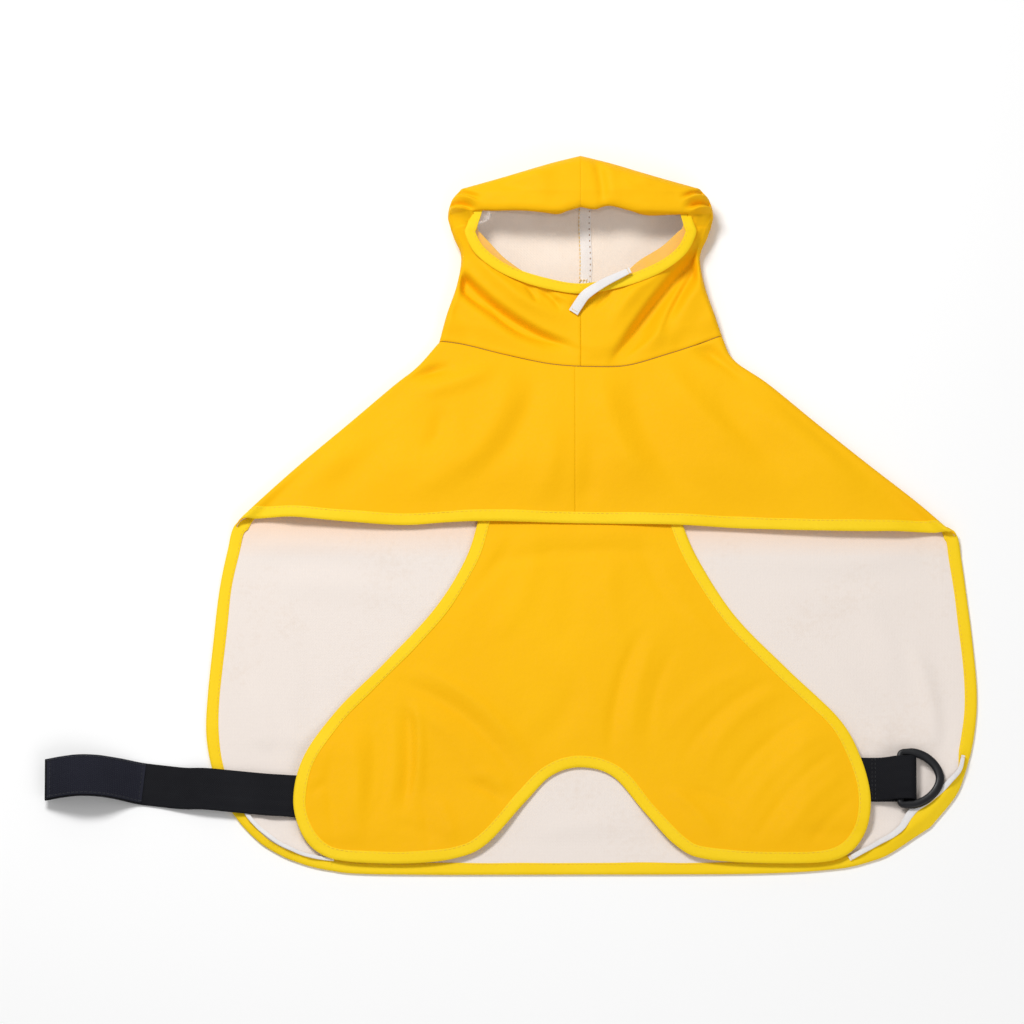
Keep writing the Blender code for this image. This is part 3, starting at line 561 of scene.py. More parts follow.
def darken_gaps(material, pattern, low, share, colour, dark):
    """A darker colour in the gaps between threads or ribs."""
    gaps = remap_node(material.node_tree, pattern.outputs["Gaps"], low, 1.0, 0.0, share)
    return mix_colours(material, gaps, colour, dark)


def vary(material, shader, socket, value, *limits):
    material.node_tree.links.new(remap_node(material.node_tree, value, *limits), shader.inputs[socket])


def finish(material, shader, colour, *heights):
    material.node_tree.links.new(colour, shader.inputs["Base Color"])
    add_bump(material, shader, heights)
    return material


def coated_cloth():
    """Yellow face of the cloth: a satin coating with the weave just showing through."""
    material, shader = new_material("coated yellow cloth", (0.93, 0.49, 0.002), 0.6, Specular_IOR_Level=0.08)
    tone, yellow = toned(material, (0.92, 0.472, 0.002), (0.95, 0.515, 0.003), 7.0, 420.0, 0.25)
    place = object_place(material)
    weave = place_group(material, WEAVE, place, Threads_per_metre=1150.0, Slub=0.5)
    vary(material, shader, "Roughness", tone.outputs["Specks"], 0.3, 0.7, 0.55, 0.68)
    crinkle = noise_node(material.node_tree, place, 42.0, 3.0, 0.55)
    return finish(
        material, shader, yellow, (crinkle, 0.0016, 0.5), (weave.outputs["Height"], 0.00006, 0.35),
        (tone.outputs["Specks"], 0.00008, 0.4),
    )


def lining_cloth(name, dull, clean, painted_bounce=None):
    """Inner face: the bare woven side, cream with faint warm marks.

    Painted bounce holds two heights up the coat: between them the cream is painted warm, a painted bounce
    light in the shade under the yellow front hem.
    """
    material, shader = new_material(name, clean, 0.78, Sheen_Weight=0.15)
    tree = material.node_tree
    place = object_place(material)
    _, pale = toned(material, dull, clean, 16.0, 260.0, 0.9)
    weave = place_group(material, WEAVE, place, Threads_per_metre=1000.0, Slub=2.0)
    if painted_bounce:
        split = tree.nodes.new("ShaderNodeSeparateXYZ")
        tree.links.new(place, split.inputs[0])
        # Painted warm bounce light: towards the front hem the cream is mixed with orange, standing in for
        # light bounced off the yellow cloth into the hem's shade.
        near = remap_node(tree, split.outputs["Y"], *painted_bounce, 0.0, 0.5)
        pale = mix_colours(material, near, pale, (0.95, 0.60, 0.36))
    threads = darken_gaps(material, weave, 0.2, 0.14, pale, (0.72, 0.60, 0.52))
    return finish(material, shader, threads, (weave.outputs["Height"], 0.00012, 0.5))


def ribbed_tape(name, colour, roughness, ribs, tones, gaps, relief, **settings):
    """Woven tape with ribs in its own length and width, darker between them.

    Ribs: number to a metre, slant, chevron width. Tones: two colours and two scales. Gaps: where
    they start, how dark they get and their colour. Relief: distance in metres and strength.
    """
    material, shader = new_material(name, colour, roughness, **settings)
    per_metre, slant, chevron = ribs
    pattern = place_group(
        material, RIBS, tape_place(material), Ribs_per_metre=per_metre, Slant=slant, Chevron_width=chevron,
    )
    _, plain = toned(material, *tones)
    low, share, dark = gaps
    ribbed = darken_gaps(material, pattern, low, share, plain, dark)
    return finish(material, shader, ribbed, (pattern.outputs["Height"], *relief))


def hook_base():
    """Ground of the hook patch, a little bluer and greyer than the webbing."""
    material, shader = new_material("hook tape ground", (0.016, 0.017, 0.027), 0.85, Specular_IOR_Level=0.15)
    tone = place_group(
        material, TONE, object_place(material), Blotch_scale=60.0, Speck_scale=1400.0, Speck_share=0.8,
    )
    fuzz = mix_colours(material, tone.outputs["Specks"], (0.011, 0.012, 0.02), (0.024, 0.025, 0.038))
    return finish(material, shader, fuzz, (tone.outputs["Specks"], 0.0004, 0.8))


def hook_thread():
    material, shader = new_material("moulded hooks", (0.016, 0.017, 0.027), 0.5, Specular_IOR_Level=0.2)
    _, shade = toned(material, (0.012, 0.0125, 0.02), (0.026, 0.027, 0.04), 80.0, 900.0)
    material.node_tree.links.new(shade, shader.inputs["Base Color"])
    return material


def seam_tape():
    """Heat-sealed white tape with a fine knit backing."""
    material, shader = new_material("white seam tape", (0.90, 0.84, 0.79), 0.6)
    weave = place_group(material, WEAVE, tape_place(material), Threads_per_metre=900.0, Slub=0.4)
    _, pale = toned(material, (0.86, 0.78, 0.72), (0.93, 0.88, 0.84), 40.0, 600.0)
    return finish(material, shader, pale, (weave.outputs["Height"], 0.0001, 0.5))


def clear_film():
    """Clear soft film, faintly cloudy where it has been handled."""
    material, shader = new_material("clear film", (0.97, 0.97, 0.965), 0.08, Specular_IOR_Level=0.9)
    tone = place_group(
        material, TONE, object_place(material), Blotch_scale=30.0, Speck_scale=90.0, Speck_share=0.6,
    )
    vary(material, shader, "Roughness", tone.outputs["Tone"], 0.0, 1.0, 0.05, 0.16)
    vary(material, shader, "Alpha", tone.outputs["Tone"], 0.0, 1.0, 0.03, 0.07)
    add_bump(material, shader, [(tone.outputs["Tone"], 0.0006, 0.25)])
    return material


def ring_plastic():
    """Moulded black plastic with a fine spark-eroded grain."""
    material, shader = new_material(
        "black moulded plastic", (0.008, 0.008, 0.01), 0.38, Specular_IOR_Level=0.3,
    )
    tone, shade = toned(material, (0.006, 0.006, 0.008), (0.012, 0.012, 0.014), 120.0, 2600.0, 0.4)
    vary(material, shader, "Roughness", tone.outputs["Specks"], 0.3, 0.7, 0.28, 0.46)
    return finish(material, shader, shade, (tone.outputs["Specks"], 0.00008, 0.5))


def sewing_thread(name, colour):
    material, shader = new_material(name, colour, 0.55, Sheen_Weight=0.2)
    darker = tuple(0.82 * part for part in colour)
    tone, shade = toned(material, darker, colour, 200.0, 3000.0)
    return finish(material, shader, shade, (tone.outputs["Specks"], 0.0001, 0.5))


# ---------------------------------------------------------------- curves, patches and heights
def smoothstep(x, low, high):
    t = np.clip((np.asarray(x, float) - low) / (high - low), 0.0, 1.0)
    return t * t * (3 - 2 * t)


def plateau(x, low_out, low_in, high_in, high_out):
    return smoothstep(x, low_out, low_in) * (1 - smoothstep(x, high_in, high_out))


def path_lengths(points):
    return np.concatenate([[0], np.cumsum(np.linalg.norm(np.diff(points, axis=0), axis=1))])


def at_fractions(points, fractions):
    """Points of a path at fractions of its length."""
    lengths = path_lengths(points)
    wanted = np.asarray(fractions) * lengths[-1]
    return np.column_stack([np.interp(wanted, lengths, points[:, k]) for k in range(points.shape[1])])


def smooth_path(points, steps):
    """Points along a smooth curve through the given ones: a count, or fractions of its length."""
    given = np.array(points, float)
    ext = np.vstack([2 * given[0] - given[1], given, 2 * given[-1] - given[-2]])
    dense = []
    for i in range(len(given) - 1):
        p0, p1, p2, p3 = ext[i:i + 4]
        for t in np.linspace(0, 1, 24, endpoint=False):
            slope = (p2 - p0) * t + (2 * p0 - 5 * p1 + 4 * p2 - p3) * t ** 2
            dense.append(p1 + 0.5 * (slope + (3 * p1 - p0 - 3 * p2 + p3) * t ** 3))
    fractions = np.linspace(0, 1, steps) if isinstance(steps, int) else steps
    return at_fractions(np.array([*dense, given[-1]]), fractions)


def cut_line(outline, start, stop, fractions):
    """The stretch of a smooth outline between two of its points, at fractions of its length."""
    dense = smooth_path(outline, 2400)
    first = int(np.argmin(np.linalg.norm(dense - np.array(start), axis=1)))
    last = int(np.argmin(np.linalg.norm(dense - np.array(stop), axis=1)))
    step = 1 if last > first else -1
    stretch = dense[first:last + step:step] if last + step >= 0 else dense[first::step]
    return at_fractions(stretch, fractions)


def patch(low, high, left, right, across, along):
    """Coons patch between four edges: rows run from the low edge to the high one."""
    s = np.asarray(across)[None, :, None]
    t = np.asarray(along)[:, None, None]
    ruled = (1 - t) * low[None] + t * high[None] + (1 - s) * left[:, None] + s * right[:, None]
    corners = (1 - s) * (1 - t) * low[0] + s * (1 - t) * low[-1]
    corners = corners + (1 - s) * t * high[0] + s * t * high[-1]
    return ruled - corners


def fine_ends(length, near_low, near_high, count):
    """Fractions of a length, with extra lines at given distances from its low and high ends."""
    low = np.array(near_low, float) / length
    high = 1 - np.array(near_high, float)[::-1] / length
    middle = np.linspace(low[-1], high[0], count + 2)[1:-1]
    return np.concatenate([low, middle, high])


def inward_normals(path, spread=1):
    """Unit normals in the plan, on the left of the path, evened out over a number of its points."""
    along = np.gradient(path[:, :2], axis=0)
    along /= np.linalg.norm(along, axis=1)[:, None]
    if spread > 1:
        padded = np.pad(along, ((spread // 2, spread // 2), (0, 0)), mode="edge")
        even = np.ones(spread) / spread
        along = np.column_stack([np.convolve(padded[:, k], even, "valid") for k in (0, 1)])
        along /= np.linalg.norm(along, axis=1)[:, None]
    return np.column_stack([-along[:, 1], along[:, 0]])


def inset(path, distance):
    return path[:, :2] + distance * inward_normals(path)


def nearest(edge, points, dense=None):
    """Distance in the plan from each point to the smooth curve through the edge's points."""
    line = smooth_path(edge, dense or 10 * len(edge))[:, :2]
    flat = points.reshape(-1, points.shape[-1])[:, :2]
    best = np.full(len(flat), 1e9)
    start, step = line[:-1], np.diff(line, axis=0)
    length = np.maximum((step ** 2).sum(axis=1), 1e-12)
    for origin, run, square in zip(start, step, length):
        t = np.clip(((flat - origin) @ run) / square, 0, 1)
        best = np.minimum(best, ((flat - origin - t[:, None] * run) ** 2).sum(axis=1))
    return np.sqrt(best).reshape(points.shape[:-1])


def with_height(flat, heights):
    return np.concatenate([flat[..., :2], np.asarray(heights).reshape(*flat.shape[:-1], 1)], axis=-1)


def creases(u, v, table):
    """Soft troughs and ridges, each along a bowed line, fading at both of its ends."""
    total = np.zeros_like(u)
    for u0, v0, u1, v1, bow, half, height, *lean in table:
        run = np.array([u1 - u0, v1 - v0], float)
        length = np.linalg.norm(run)
        run /= length
        along = ((u - u0) * run[0] + (v - v0) * run[1]) / length
        side = (v - v0) * run[0] - (u - u0) * run[1]
        side = side - bow * 4 * along * (1 - along)
        fade = smoothstep(along, -0.15, 0.3) * (1 - smoothstep(along, 0.65, 1.15))
        reach = half * (1 - sum(lean) * np.sign(side))
        total += height * np.exp(-(side / reach) ** 2) * fade
    return total


def ripple(u, v, seed, height, length):
    """Slow uneven undulation of cloth lying free."""
    chance = np.random.default_rng(seed)
    total = np.zeros_like(u)
    for _ in range(7):
        angle = chance.uniform(0, math.pi)
        wave = length * chance.uniform(0.6, 1.6)
        turn = (u * math.cos(angle) + v * math.sin(angle)) * 2 * math.pi / wave
        total += np.sin(turn + chance.uniform(0, 6.28))
    return total * height / 4


def roll(depth, radius):
    """0 at a fold's outer line, 1 from one radius inside it, along a quarter circle."""
    t = np.clip(depth / radius, 0.0, 1.0)
    return np.sqrt(1 - (1 - t) ** 2)


def seam_dip(distance, reach=2.4, depth=0.9):
    """How far cloth dips where it is drawn down into a seam."""
    return -depth * (1 - np.clip(distance / reach, 0, 1)) ** 2


def flap_lift(u, v):
    return FLAP_LIFT * plateau(u, -95, -50, 50, 95) * plateau(v, 12, 34, 113, 132)


def fold_depth(points):
    return np.minimum(nearest(SHOULDER_LEFT, points), nearest(SHOULDER_RIGHT, points))


def back_ring():
    """The back's outer line, down the left side, along the hem and up the right side."""
    return [*BACK_LEFT[:-1], HEM_CORNERS[0], *HEM, HEM_CORNERS[1], *BACK_RIGHT[:-1][::-1]]


def curl(points):
    u, v = points[..., 0], points[..., 1]
    total = np.zeros_like(u)
    for middle_u, middle_v, reach, height, _ in CORNER_CURLS:
        gap = np.hypot(u - middle_u, v - middle_v)
        total += height * np.exp(-(gap / reach) ** 2)
    return total


def covered(u, v):
    """How far the lining is pressed flat: under the belly panel, the belt and the loop with its ring."""
    left, right = np.array(BELLY_LEFT[::-1], float), np.array(BELLY_RIGHT[::-1], float)
    inside = np.minimum(u - np.interp(v, left[:, 1], left[:, 0]), np.interp(v, right[:, 1], right[:, 0]) - u)
    panel = smoothstep(inside, -9, 1) * (1 - plateau(u, -70, -48, 48, 70) * smoothstep(-v, 192, 212))
    straps = plateau(np.abs(u), 148, 162, 246, 258) * plateau(v, -226, -214, -174, -162)
    return np.maximum(panel, straps)


def back_low(points):
    """Underside of the back: its coloured face, on the table save where something lifts it."""
    u, v = points[..., 0], points[..., 1]
    edge = nearest(back_ring(), points)
    corner_left, corner_right = BACK_LEFT[0], BACK_RIGHT[0]
    below = np.interp(u, (corner_left[0], corner_right[0]), (corner_left[1], corner_right[1])) - v
    lift = (TAPE_PROUD + 0.1) * (1 - smoothstep(edge, 12, 26)) * smoothstep(below, -5, 3)
    ruffle = np.sin((u - v) / 3.6) * np.exp(-((edge - 11) / 6) ** 2)
    crest = smoothstep(edge, 0, 8) * (1 - smoothstep(edge, 10, 21)) * smoothstep(-v, 100, 140)
    lift = lift + curl(points) * crest * (1 + 0.22 * ruffle)
    depth = fold_depth(points)
    rounding = FOLD * (1 - roll(depth * (1 - 0.5 * smoothstep(below, 0, 6)), FOLD))
    soft = np.maximum(creases(u, v, LINING_CREASES), 0) + 0.25 * (1 + ripple(u, v, 5, 0.9, 90))
    soft = soft * smoothstep(edge, 10, 30) * smoothstep(below, -7, 15) * (1 - covered(u, v))
    return flap_lift(u, v) + lift + rounding + np.maximum(soft, 0)


def hem_waves(u, below):
    total = np.zeros_like(u)
    for crest, half, height, reach in HEM_WAVES:
        fade = 1 - smoothstep(below, 2, 2 + reach)
        total += height * np.exp(-((u - crest) / half) ** 2) * fade
    return total


def front_high(points):
    """Outer face of the fronts, above everything they cover."""
    u, v = points[..., 0], points[..., 1]
    depth = fold_depth(points)
    hem = smooth_path(FRONT_HEM, 80)
    below = v - np.interp(u, hem[:, 0], hem[:, 1])
    free = smoothstep(depth, 4, 24)
    top = FOLD + FOLD * roll(depth, FOLD)
    top = top + hem_waves(u, below) * smoothstep(depth, 5, 30)
    top = top + (creases(u, v, FRONT_CREASES) + ripple(u, v, 2, 0.45, 85)) * smoothstep(depth, 1, 12)
    top = top + 1.4 * free * smoothstep(below, 6, 50) * (1 - smoothstep(v, 70, 118))
    top = top - HEM_DROOP * (1 - smoothstep(below, 0, 46)) * smoothstep(depth, 0, 8)
    neck = nearest(FRONT_NECK, points)
    return top + seam_dip(neck) + seam_dip(np.abs(u - SEAM_U), 1.7, 0.22)


def belly_base(points):
    u, v = points[..., 0], points[..., 1]
    hem = smoothstep(-v - 236, -42, -4) * 2.6
    strap = plateau(v, -262, -232, -178, -146) * smoothstep(-u, 128, 154) * STRAP_LIFT
    loop = plateau(v, -250, -220, -166, -134) * smoothstep(u, 128, 154) * LOOP_LIFT
    return 1.3 + np.maximum(np.maximum(hem, strap), loop)


def belly_ring():
    return [*BELLY_LEFT[:-1], *BELLY_BOTTOM, *BELLY_RIGHT[:-1][::-1]]


def belly_high(points):
    """Upper, coloured face of the belly panel."""
    u, v = points[..., 0], points[..., 1]
    edge = nearest(belly_ring(), points)
    soft = creases(u, v, BELLY_CREASES) + ripple(u, v, 9, 0.5, 75) + 0.7
    soft = np.maximum(soft, -0.6) * smoothstep(edge, 6, 22) * (0.35 + 0.65 * smoothstep(-v, -4, 24))
    return belly_base(points) + CLOTH + 0.9 - 0.35 * smoothstep(edge, 9, 20) + soft


def hood_radius(v):
    return FOLD + (CROWN_RADIUS - FOLD) * smoothstep(v, 170, 212)


def hood_high(points, depth, side):
    """Outer face of the hood's front layer, rolled down to the fold round its sides and top."""
    u, v = points[..., 0], points[..., 1]
    heights = np.array(HOOD_HEIGHTS, float)
    top = np.interp(v, heights[:, 0], heights[:, 1])
    from_neck = nearest(FRONT_NECK, np.stack([side * u, v], axis=-1))
    top = top + 2.2 * smoothstep(from_neck, 2, 15) * (1 - smoothstep(v, 150, 185))
    radius = hood_radius(v)
    drop = 1 - 0.18 * smoothstep(u, 40, 90) * smoothstep(v, 200, 212)
    height = radius + (top * drop - radius) * roll(depth, radius)
    crown = smoothstep(v, 206, 212)
    folds = creases(side * u, v, THROAT_CREASES) * (1 - crown)
    folds = folds + creases(side * u, v, CROWN_CREASES) * smoothstep(v, 200, 206)
    fixed = smoothstep(depth, 0.5, 7)
    height = height + folds * fixed + ripple(side * u, v, 4, 0.35, 55) * fixed
    height = height + creases(side * u, v, PUCKERS) * smoothstep(depth, 0.2, 2.4)
    lowest = hood_low(points, depth) + 2 * CLOTH + 0.7
    height = np.where(crown > 0, height, lowest + np.logaddexp(0, (height - lowest) / 0.5) * 0.5)
    under_visor = smoothstep(v - visor_edge(side * u), -4, 1) * (1 - crown)
    height = height - under_visor * np.maximum(height - visor_base(v) - 0.5, 0)
    height = height + seam_dip(from_neck)
    return height + seam_dip(u, 1.8, 0.6) * (0.2 + 0.8 * (1 - smoothstep(v, 134, 150)) + 0.1 * crown)


def hood_low(points, depth):
    u, v = points[..., 0], points[..., 1]
    radius = hood_radius(v)
    return flap_lift(u, v) + radius * (1 - roll(depth, radius))


def visor_edge(u):
    """Height up the coat of the visor's lower outline."""
    lower = np.array(VISOR_OUTLINE[3:-3], float)
    return np.interp(u, lower[:, 0], lower[:, 1])


def visor_base(v):
    heights = np.array(VISOR_HEIGHTS, float)
    return np.interp(v, heights[:, 0], heights[:, 1])


# ---------------------------------------------------------------- mesh making
def to_frame(points):
    """Millimetres in the coat's own measure to metres in the frame."""
    return (np.asarray(points, float).reshape(-1, 3) + np.array([CENTRE_X, ZERO_Y, 0.0])) * MM


class Sheet:
    """Vertices and faces of an open surface, in millimetres, joined grid by grid."""

    def __init__(self):
        self.points = []
        self.faces = []
        self.area = 0.0

    def add_grid(self, grid, facing_up=True, shared=None, keep=None):
        rows, cols = grid.shape[:2]
        ids = np.full((rows, cols), -1)
        for key, vertex in (shared or {}).items():
            ids[key] = vertex
        new = np.argwhere(ids < 0)
        ids[ids < 0] = len(self.points) + np.arange(len(new))
        self.points.extend(grid[row, col] for row, col in new)
        for row in range(rows - 1):
            for col in range(cols - 1):
                if keep is not None and not keep(row, col):
                    continue
                quad = [ids[row, col], ids[row, col + 1], ids[row + 1, col + 1], ids[row + 1, col]]
                self.faces.append(quad if facing_up else quad[::-1])
        return ids

    def pull_in(self, corner, direction):
        """Draws a corner's tip inwards, so that the tape covers it."""
        points = np.array(self.points)
        gap = np.hypot(points[:, 0] - corner[0], points[:, 1] - corner[1])
        points[:, 0] += direction * TAPE_BITE * (1 - smoothstep(gap, 0, 5))
        self.points = list(points)

    def build(self, name, outer, inner, thickness=CLOTH):
        """A thin two-sided cloth: the outer face as given, its wall on the other side."""
        mesh = bpy.data.meshes.new(name)
        faces = [[int(i) for i in face] for face in self.faces]
        mesh.from_pydata(to_frame(self.points).tolist(), [], faces)
        mesh.materials.append(outer)
        mesh.materials.append(inner)
        mesh.shade_smooth()
        self.area = sum(face.area for face in mesh.polygons)
        thing = put(name, mesh)
        wall = thing.modifiers.new("cloth wall", "SOLIDIFY")
        wall.thickness = thickness * MM
        wall.offset = -1.0
        wall.material_offset = 1
        wall.material_offset_rim = 0
        return thing


def sweep(name, centre, across, up, section, material, closed=False):
    """A section of (across, up) points carried along a path, with length and girth as its UVs."""
    centre, across, up = (np.asarray(a, float) for a in (centre, across, up))
    section = np.asarray(section, float)
    rings = centre[:, None] + section[None, :, :1] * across[:, None] + section[None, :, 1:] * up[:, None]
    return skin(name, rings, path_lengths(np.vstack([centre, centre[:1]])), section, material, closed)


def skin(name, rings, lengths, section, material, closed=False):
    """A tube through rings of points, with its UVs measured along it and round its section."""
    count, sides = rings.shape[:2]
    faces = []
    stops = count if closed else count - 1
    for i in range(stops):
        j = (i + 1) % count
        for k in range(sides):
            m = (k + 1) % sides
            faces.append((i * sides + k, i * sides + m, j * sides + m, j * sides + k))
    if not closed:
        faces.append(tuple(range(sides))[::-1])
        faces.append(tuple((count - 1) * sides + k for k in range(sides)))
    mesh = bpy.data.meshes.new(name)
    mesh.from_pydata(to_frame(rings).tolist(), [], faces)
    girth = path_lengths(np.vstack([section, section[:1]]))
    layer = mesh.uv_layers.new(name="tape")
    for face in mesh.polygons:
        ring_numbers = [v // sides for v in face.vertices]
        for loop, vertex in zip(face.loop_indices, face.vertices):
            i, k = vertex // sides, vertex % sides
            wraps_length = closed and i == 0 and count - 1 in ring_numbers
            wraps_girth = k == 0 and (sides - 1) in [v % sides for v in face.vertices]
            along = lengths[count] if wraps_length else lengths[i]
            round_it = girth[sides] if wraps_girth else girth[k]
            layer.data[loop].uv = (along * MM, round_it * MM)
    work = bmesh.new()
    work.from_mesh(mesh)
    bmesh.ops.recalc_face_normals(work, faces=work.faces)
    work.to_mesh(mesh)
    work.free()
    mesh.materials.append(material)
    mesh.shade_smooth()
    mesh.set_sharp_from_angle(angle=math.radians(50))
    return put(name, mesh)


def settle(thing):
    """Replaces an object's mesh by its evaluated one, and drops the modifiers."""
    graph = bpy.context.evaluated_depsgraph_get()
    mesh = bpy.data.meshes.new_from_object(thing.evaluated_get(graph))
    thing.modifiers.clear()
    thing.data = mesh


def unit(vectors):
    return vectors / np.maximum(np.linalg.norm(vectors, axis=-1), 1e-9)[..., None]


def tape_section(wall):
    """Closed outline of a folded tape over a cloth edge: inward, and up from the cloth's top face."""
    width, proud = TAPE_WIDTH, TAPE_PROUD
    low = -wall - proud
    top = [(width, 0.0), (width - 0.15, proud * 0.75), (width - 0.7, proud), (width * 0.74, proud * 1.1)]
    top += [(width * 0.56, proud * 1.12), (width * 0.38, proud * 1.12), (width * 0.24, proud * 1.1)]
    top += [(0.9, proud * 1.05), (-0.4, proud * 0.55), (-1.0, -wall / 2)]
    bottom = [(a, -wall - b) for a, b in top[:-1]][::-1]
    bottom[-1] = (width, -wall)
    middle = [(-0.4, low * 0.99 + proud * 0.4)]
    return top + middle + bottom[1:]


def bind_edge(name, line, surface, material, wall=CLOTH, widths=None, seed=3, spread=1):
    """Tape round a cloth's edge line; surface gives the top face's height over points of the plan.

    Widths, where given, hold the tape's own width at each point, for stretches that roll or taper.
    """
    widths = np.full(len(line), TAPE_WIDTH) if widths is None else widths
    normals = inward_normals(line, spread)
    chance = np.random.default_rng(seed)
    lengths = path_lengths(line)
    sway = sum(np.sin(lengths / chance.uniform(5, 24) + chance.uniform(0, 6)) for _ in range(5))
    section = np.array(tape_section(wall))
    reach = section[None, :, 0] * ((widths / TAPE_WIDTH) * (1 + 0.012 * sway))[:, None]
    laid = line[:, None] + np.maximum(reach, 0)[..., None] * normals[:, None]
    flat = line[:, None] + reach[..., None] * normals[:, None]
    rings = with_height(flat, surface(laid) + section[None, :, 1] * (1 + 0.05 * sway)[:, None])
    return skin(name, rings, lengths, section, material)


def tape_stitches(name, line, surface, widths=None, both=False, spread=1):
    """Stitches along a tape's inner edge, and along its underside where that shows."""
    widths = np.full(len(line), TAPE_WIDTH) if widths is None else widths
    inner = line + (widths - STITCH_INSET)[:, None] * inward_normals(line, spread)
    high = surface(inner)
    rows = [np.column_stack([inner, high + TAPE_PROUD * 1.02])]
    if both:
        rows.append(np.column_stack([inner, high - CLOTH - TAPE_PROUD * 1.02]))
    grow(name, rows, LINE_STITCHES, GOLD_THREAD, TAPE_STITCH)


# ---------------------------------------------------------------- stitches and hooks
def build_stitch_tree(name, along_line):
    """Beads of thread at even steps along a line, or one at each point of a surface."""
    tree = bpy.data.node_groups.new(name, "GeometryNodeTree")
    face = tree.interface
    face.new_socket("Geometry", in_out="INPUT", socket_type="NodeSocketGeometry")
    sizes = (("Pitch", 0.0034), ("Length", 0.0026), ("Thickness", 0.00045), ("Height", 0.00045))
    for label, value in sizes:
        face.new_socket(label, in_out="INPUT", socket_type="NodeSocketFloat").default_value = value
    face.new_socket("Thread", in_out="INPUT", socket_type="NodeSocketMaterial")
    face.new_socket("Geometry", in_out="OUTPUT", socket_type="NodeSocketGeometry")
    given, result = tree.nodes.new("NodeGroupInput"), tree.nodes.new("NodeGroupOutput")
    link = tree.links.new

    bead = tree.nodes.new("GeometryNodeMeshUVSphere")
    bead.inputs["Segments"].default_value = 7
    bead.inputs["Rings"].default_value = 5
    bead.inputs["Radius"].default_value = 0.5
    size = tree.nodes.new("ShaderNodeCombineXYZ")
    for axis, label in zip("XYZ", ("Length", "Thickness", "Height")):
        link(given.outputs[label], size.inputs[axis])
    place = tree.nodes.new("GeometryNodeInstanceOnPoints")
    turn = tree.nodes.new("FunctionNodeAlignRotationToVector")
    if along_line:
        curve = tree.nodes.new("GeometryNodeMeshToCurve")
        points = tree.nodes.new("GeometryNodeCurveToPoints")
        points.mode = "LENGTH"
        link(given.outputs["Geometry"], curve.inputs["Mesh"])
        link(curve.outputs["Curve"], points.inputs["Curve"])
        link(given.outputs["Pitch"], points.inputs["Length"])
        link(points.outputs["Points"], place.inputs["Points"])
        link(points.outputs["Tangent"], turn.inputs["Vector"])
        turn.axis = "X"
    else:
        points = tree.nodes.new("GeometryNodeMeshToPoints")
        normal = tree.nodes.new("GeometryNodeInputNormal")
        link(given.outputs["Geometry"], points.inputs["Mesh"])
        link(points.outputs["Points"], place.inputs["Points"])
        link(normal.outputs["Normal"], turn.inputs["Vector"])
        turn.axis = "Z"
    link(bead.outputs["Mesh"], place.inputs["Instance"])
    link(turn.outputs["Rotation"], place.inputs["Rotation"])
    link(size.outputs[0], place.inputs["Scale"])
    real = tree.nodes.new("GeometryNodeRealizeInstances")
    smooth = tree.nodes.new("GeometryNodeSetShadeSmooth")
    paint = tree.nodes.new("GeometryNodeSetMaterial")
    link(given.outputs["Thread"], paint.inputs["Material"])
    source = place.outputs["Instances"]
    for node in (real, smooth, paint):
        link(source, node.inputs["Geometry"])
        source = node.outputs["Geometry"]
    link(source, result.inputs["Geometry"])
    return tree


def grow(name, lines, tree, thread, sizes):
    """One mesh of beads from lines of points (mm), or from loose points where the tree takes them."""
    points, edges = [], []
    for line in lines:
        start = len(points)
        points.extend(line)
        edges.extend((start + i, start + i + 1) for i in range(len(line) - 1))
    mesh = bpy.data.meshes.new(name)
    mesh.from_pydata(to_frame(points).tolist(), edges, [])
    thing = put(name, mesh)
    beads = thing.modifiers.new("beads", "NODES")
    beads.node_group = tree
    given = (item for item in tree.interface.items_tree if item.in_out == "INPUT")
    sockets = {item.name: item.identifier for item in given}
    for label, value in sizes.items():
        beads[sockets[label]] = value * MM
    beads[sockets["Thread"]] = thread
    settle(thing)
    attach(thing, "coat")


# ---------------------------------------------------------------- the pieces
def sew_on(thing, slot, *nodes):
    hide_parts(*nodes)
    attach(thing, "coat")
    return thing


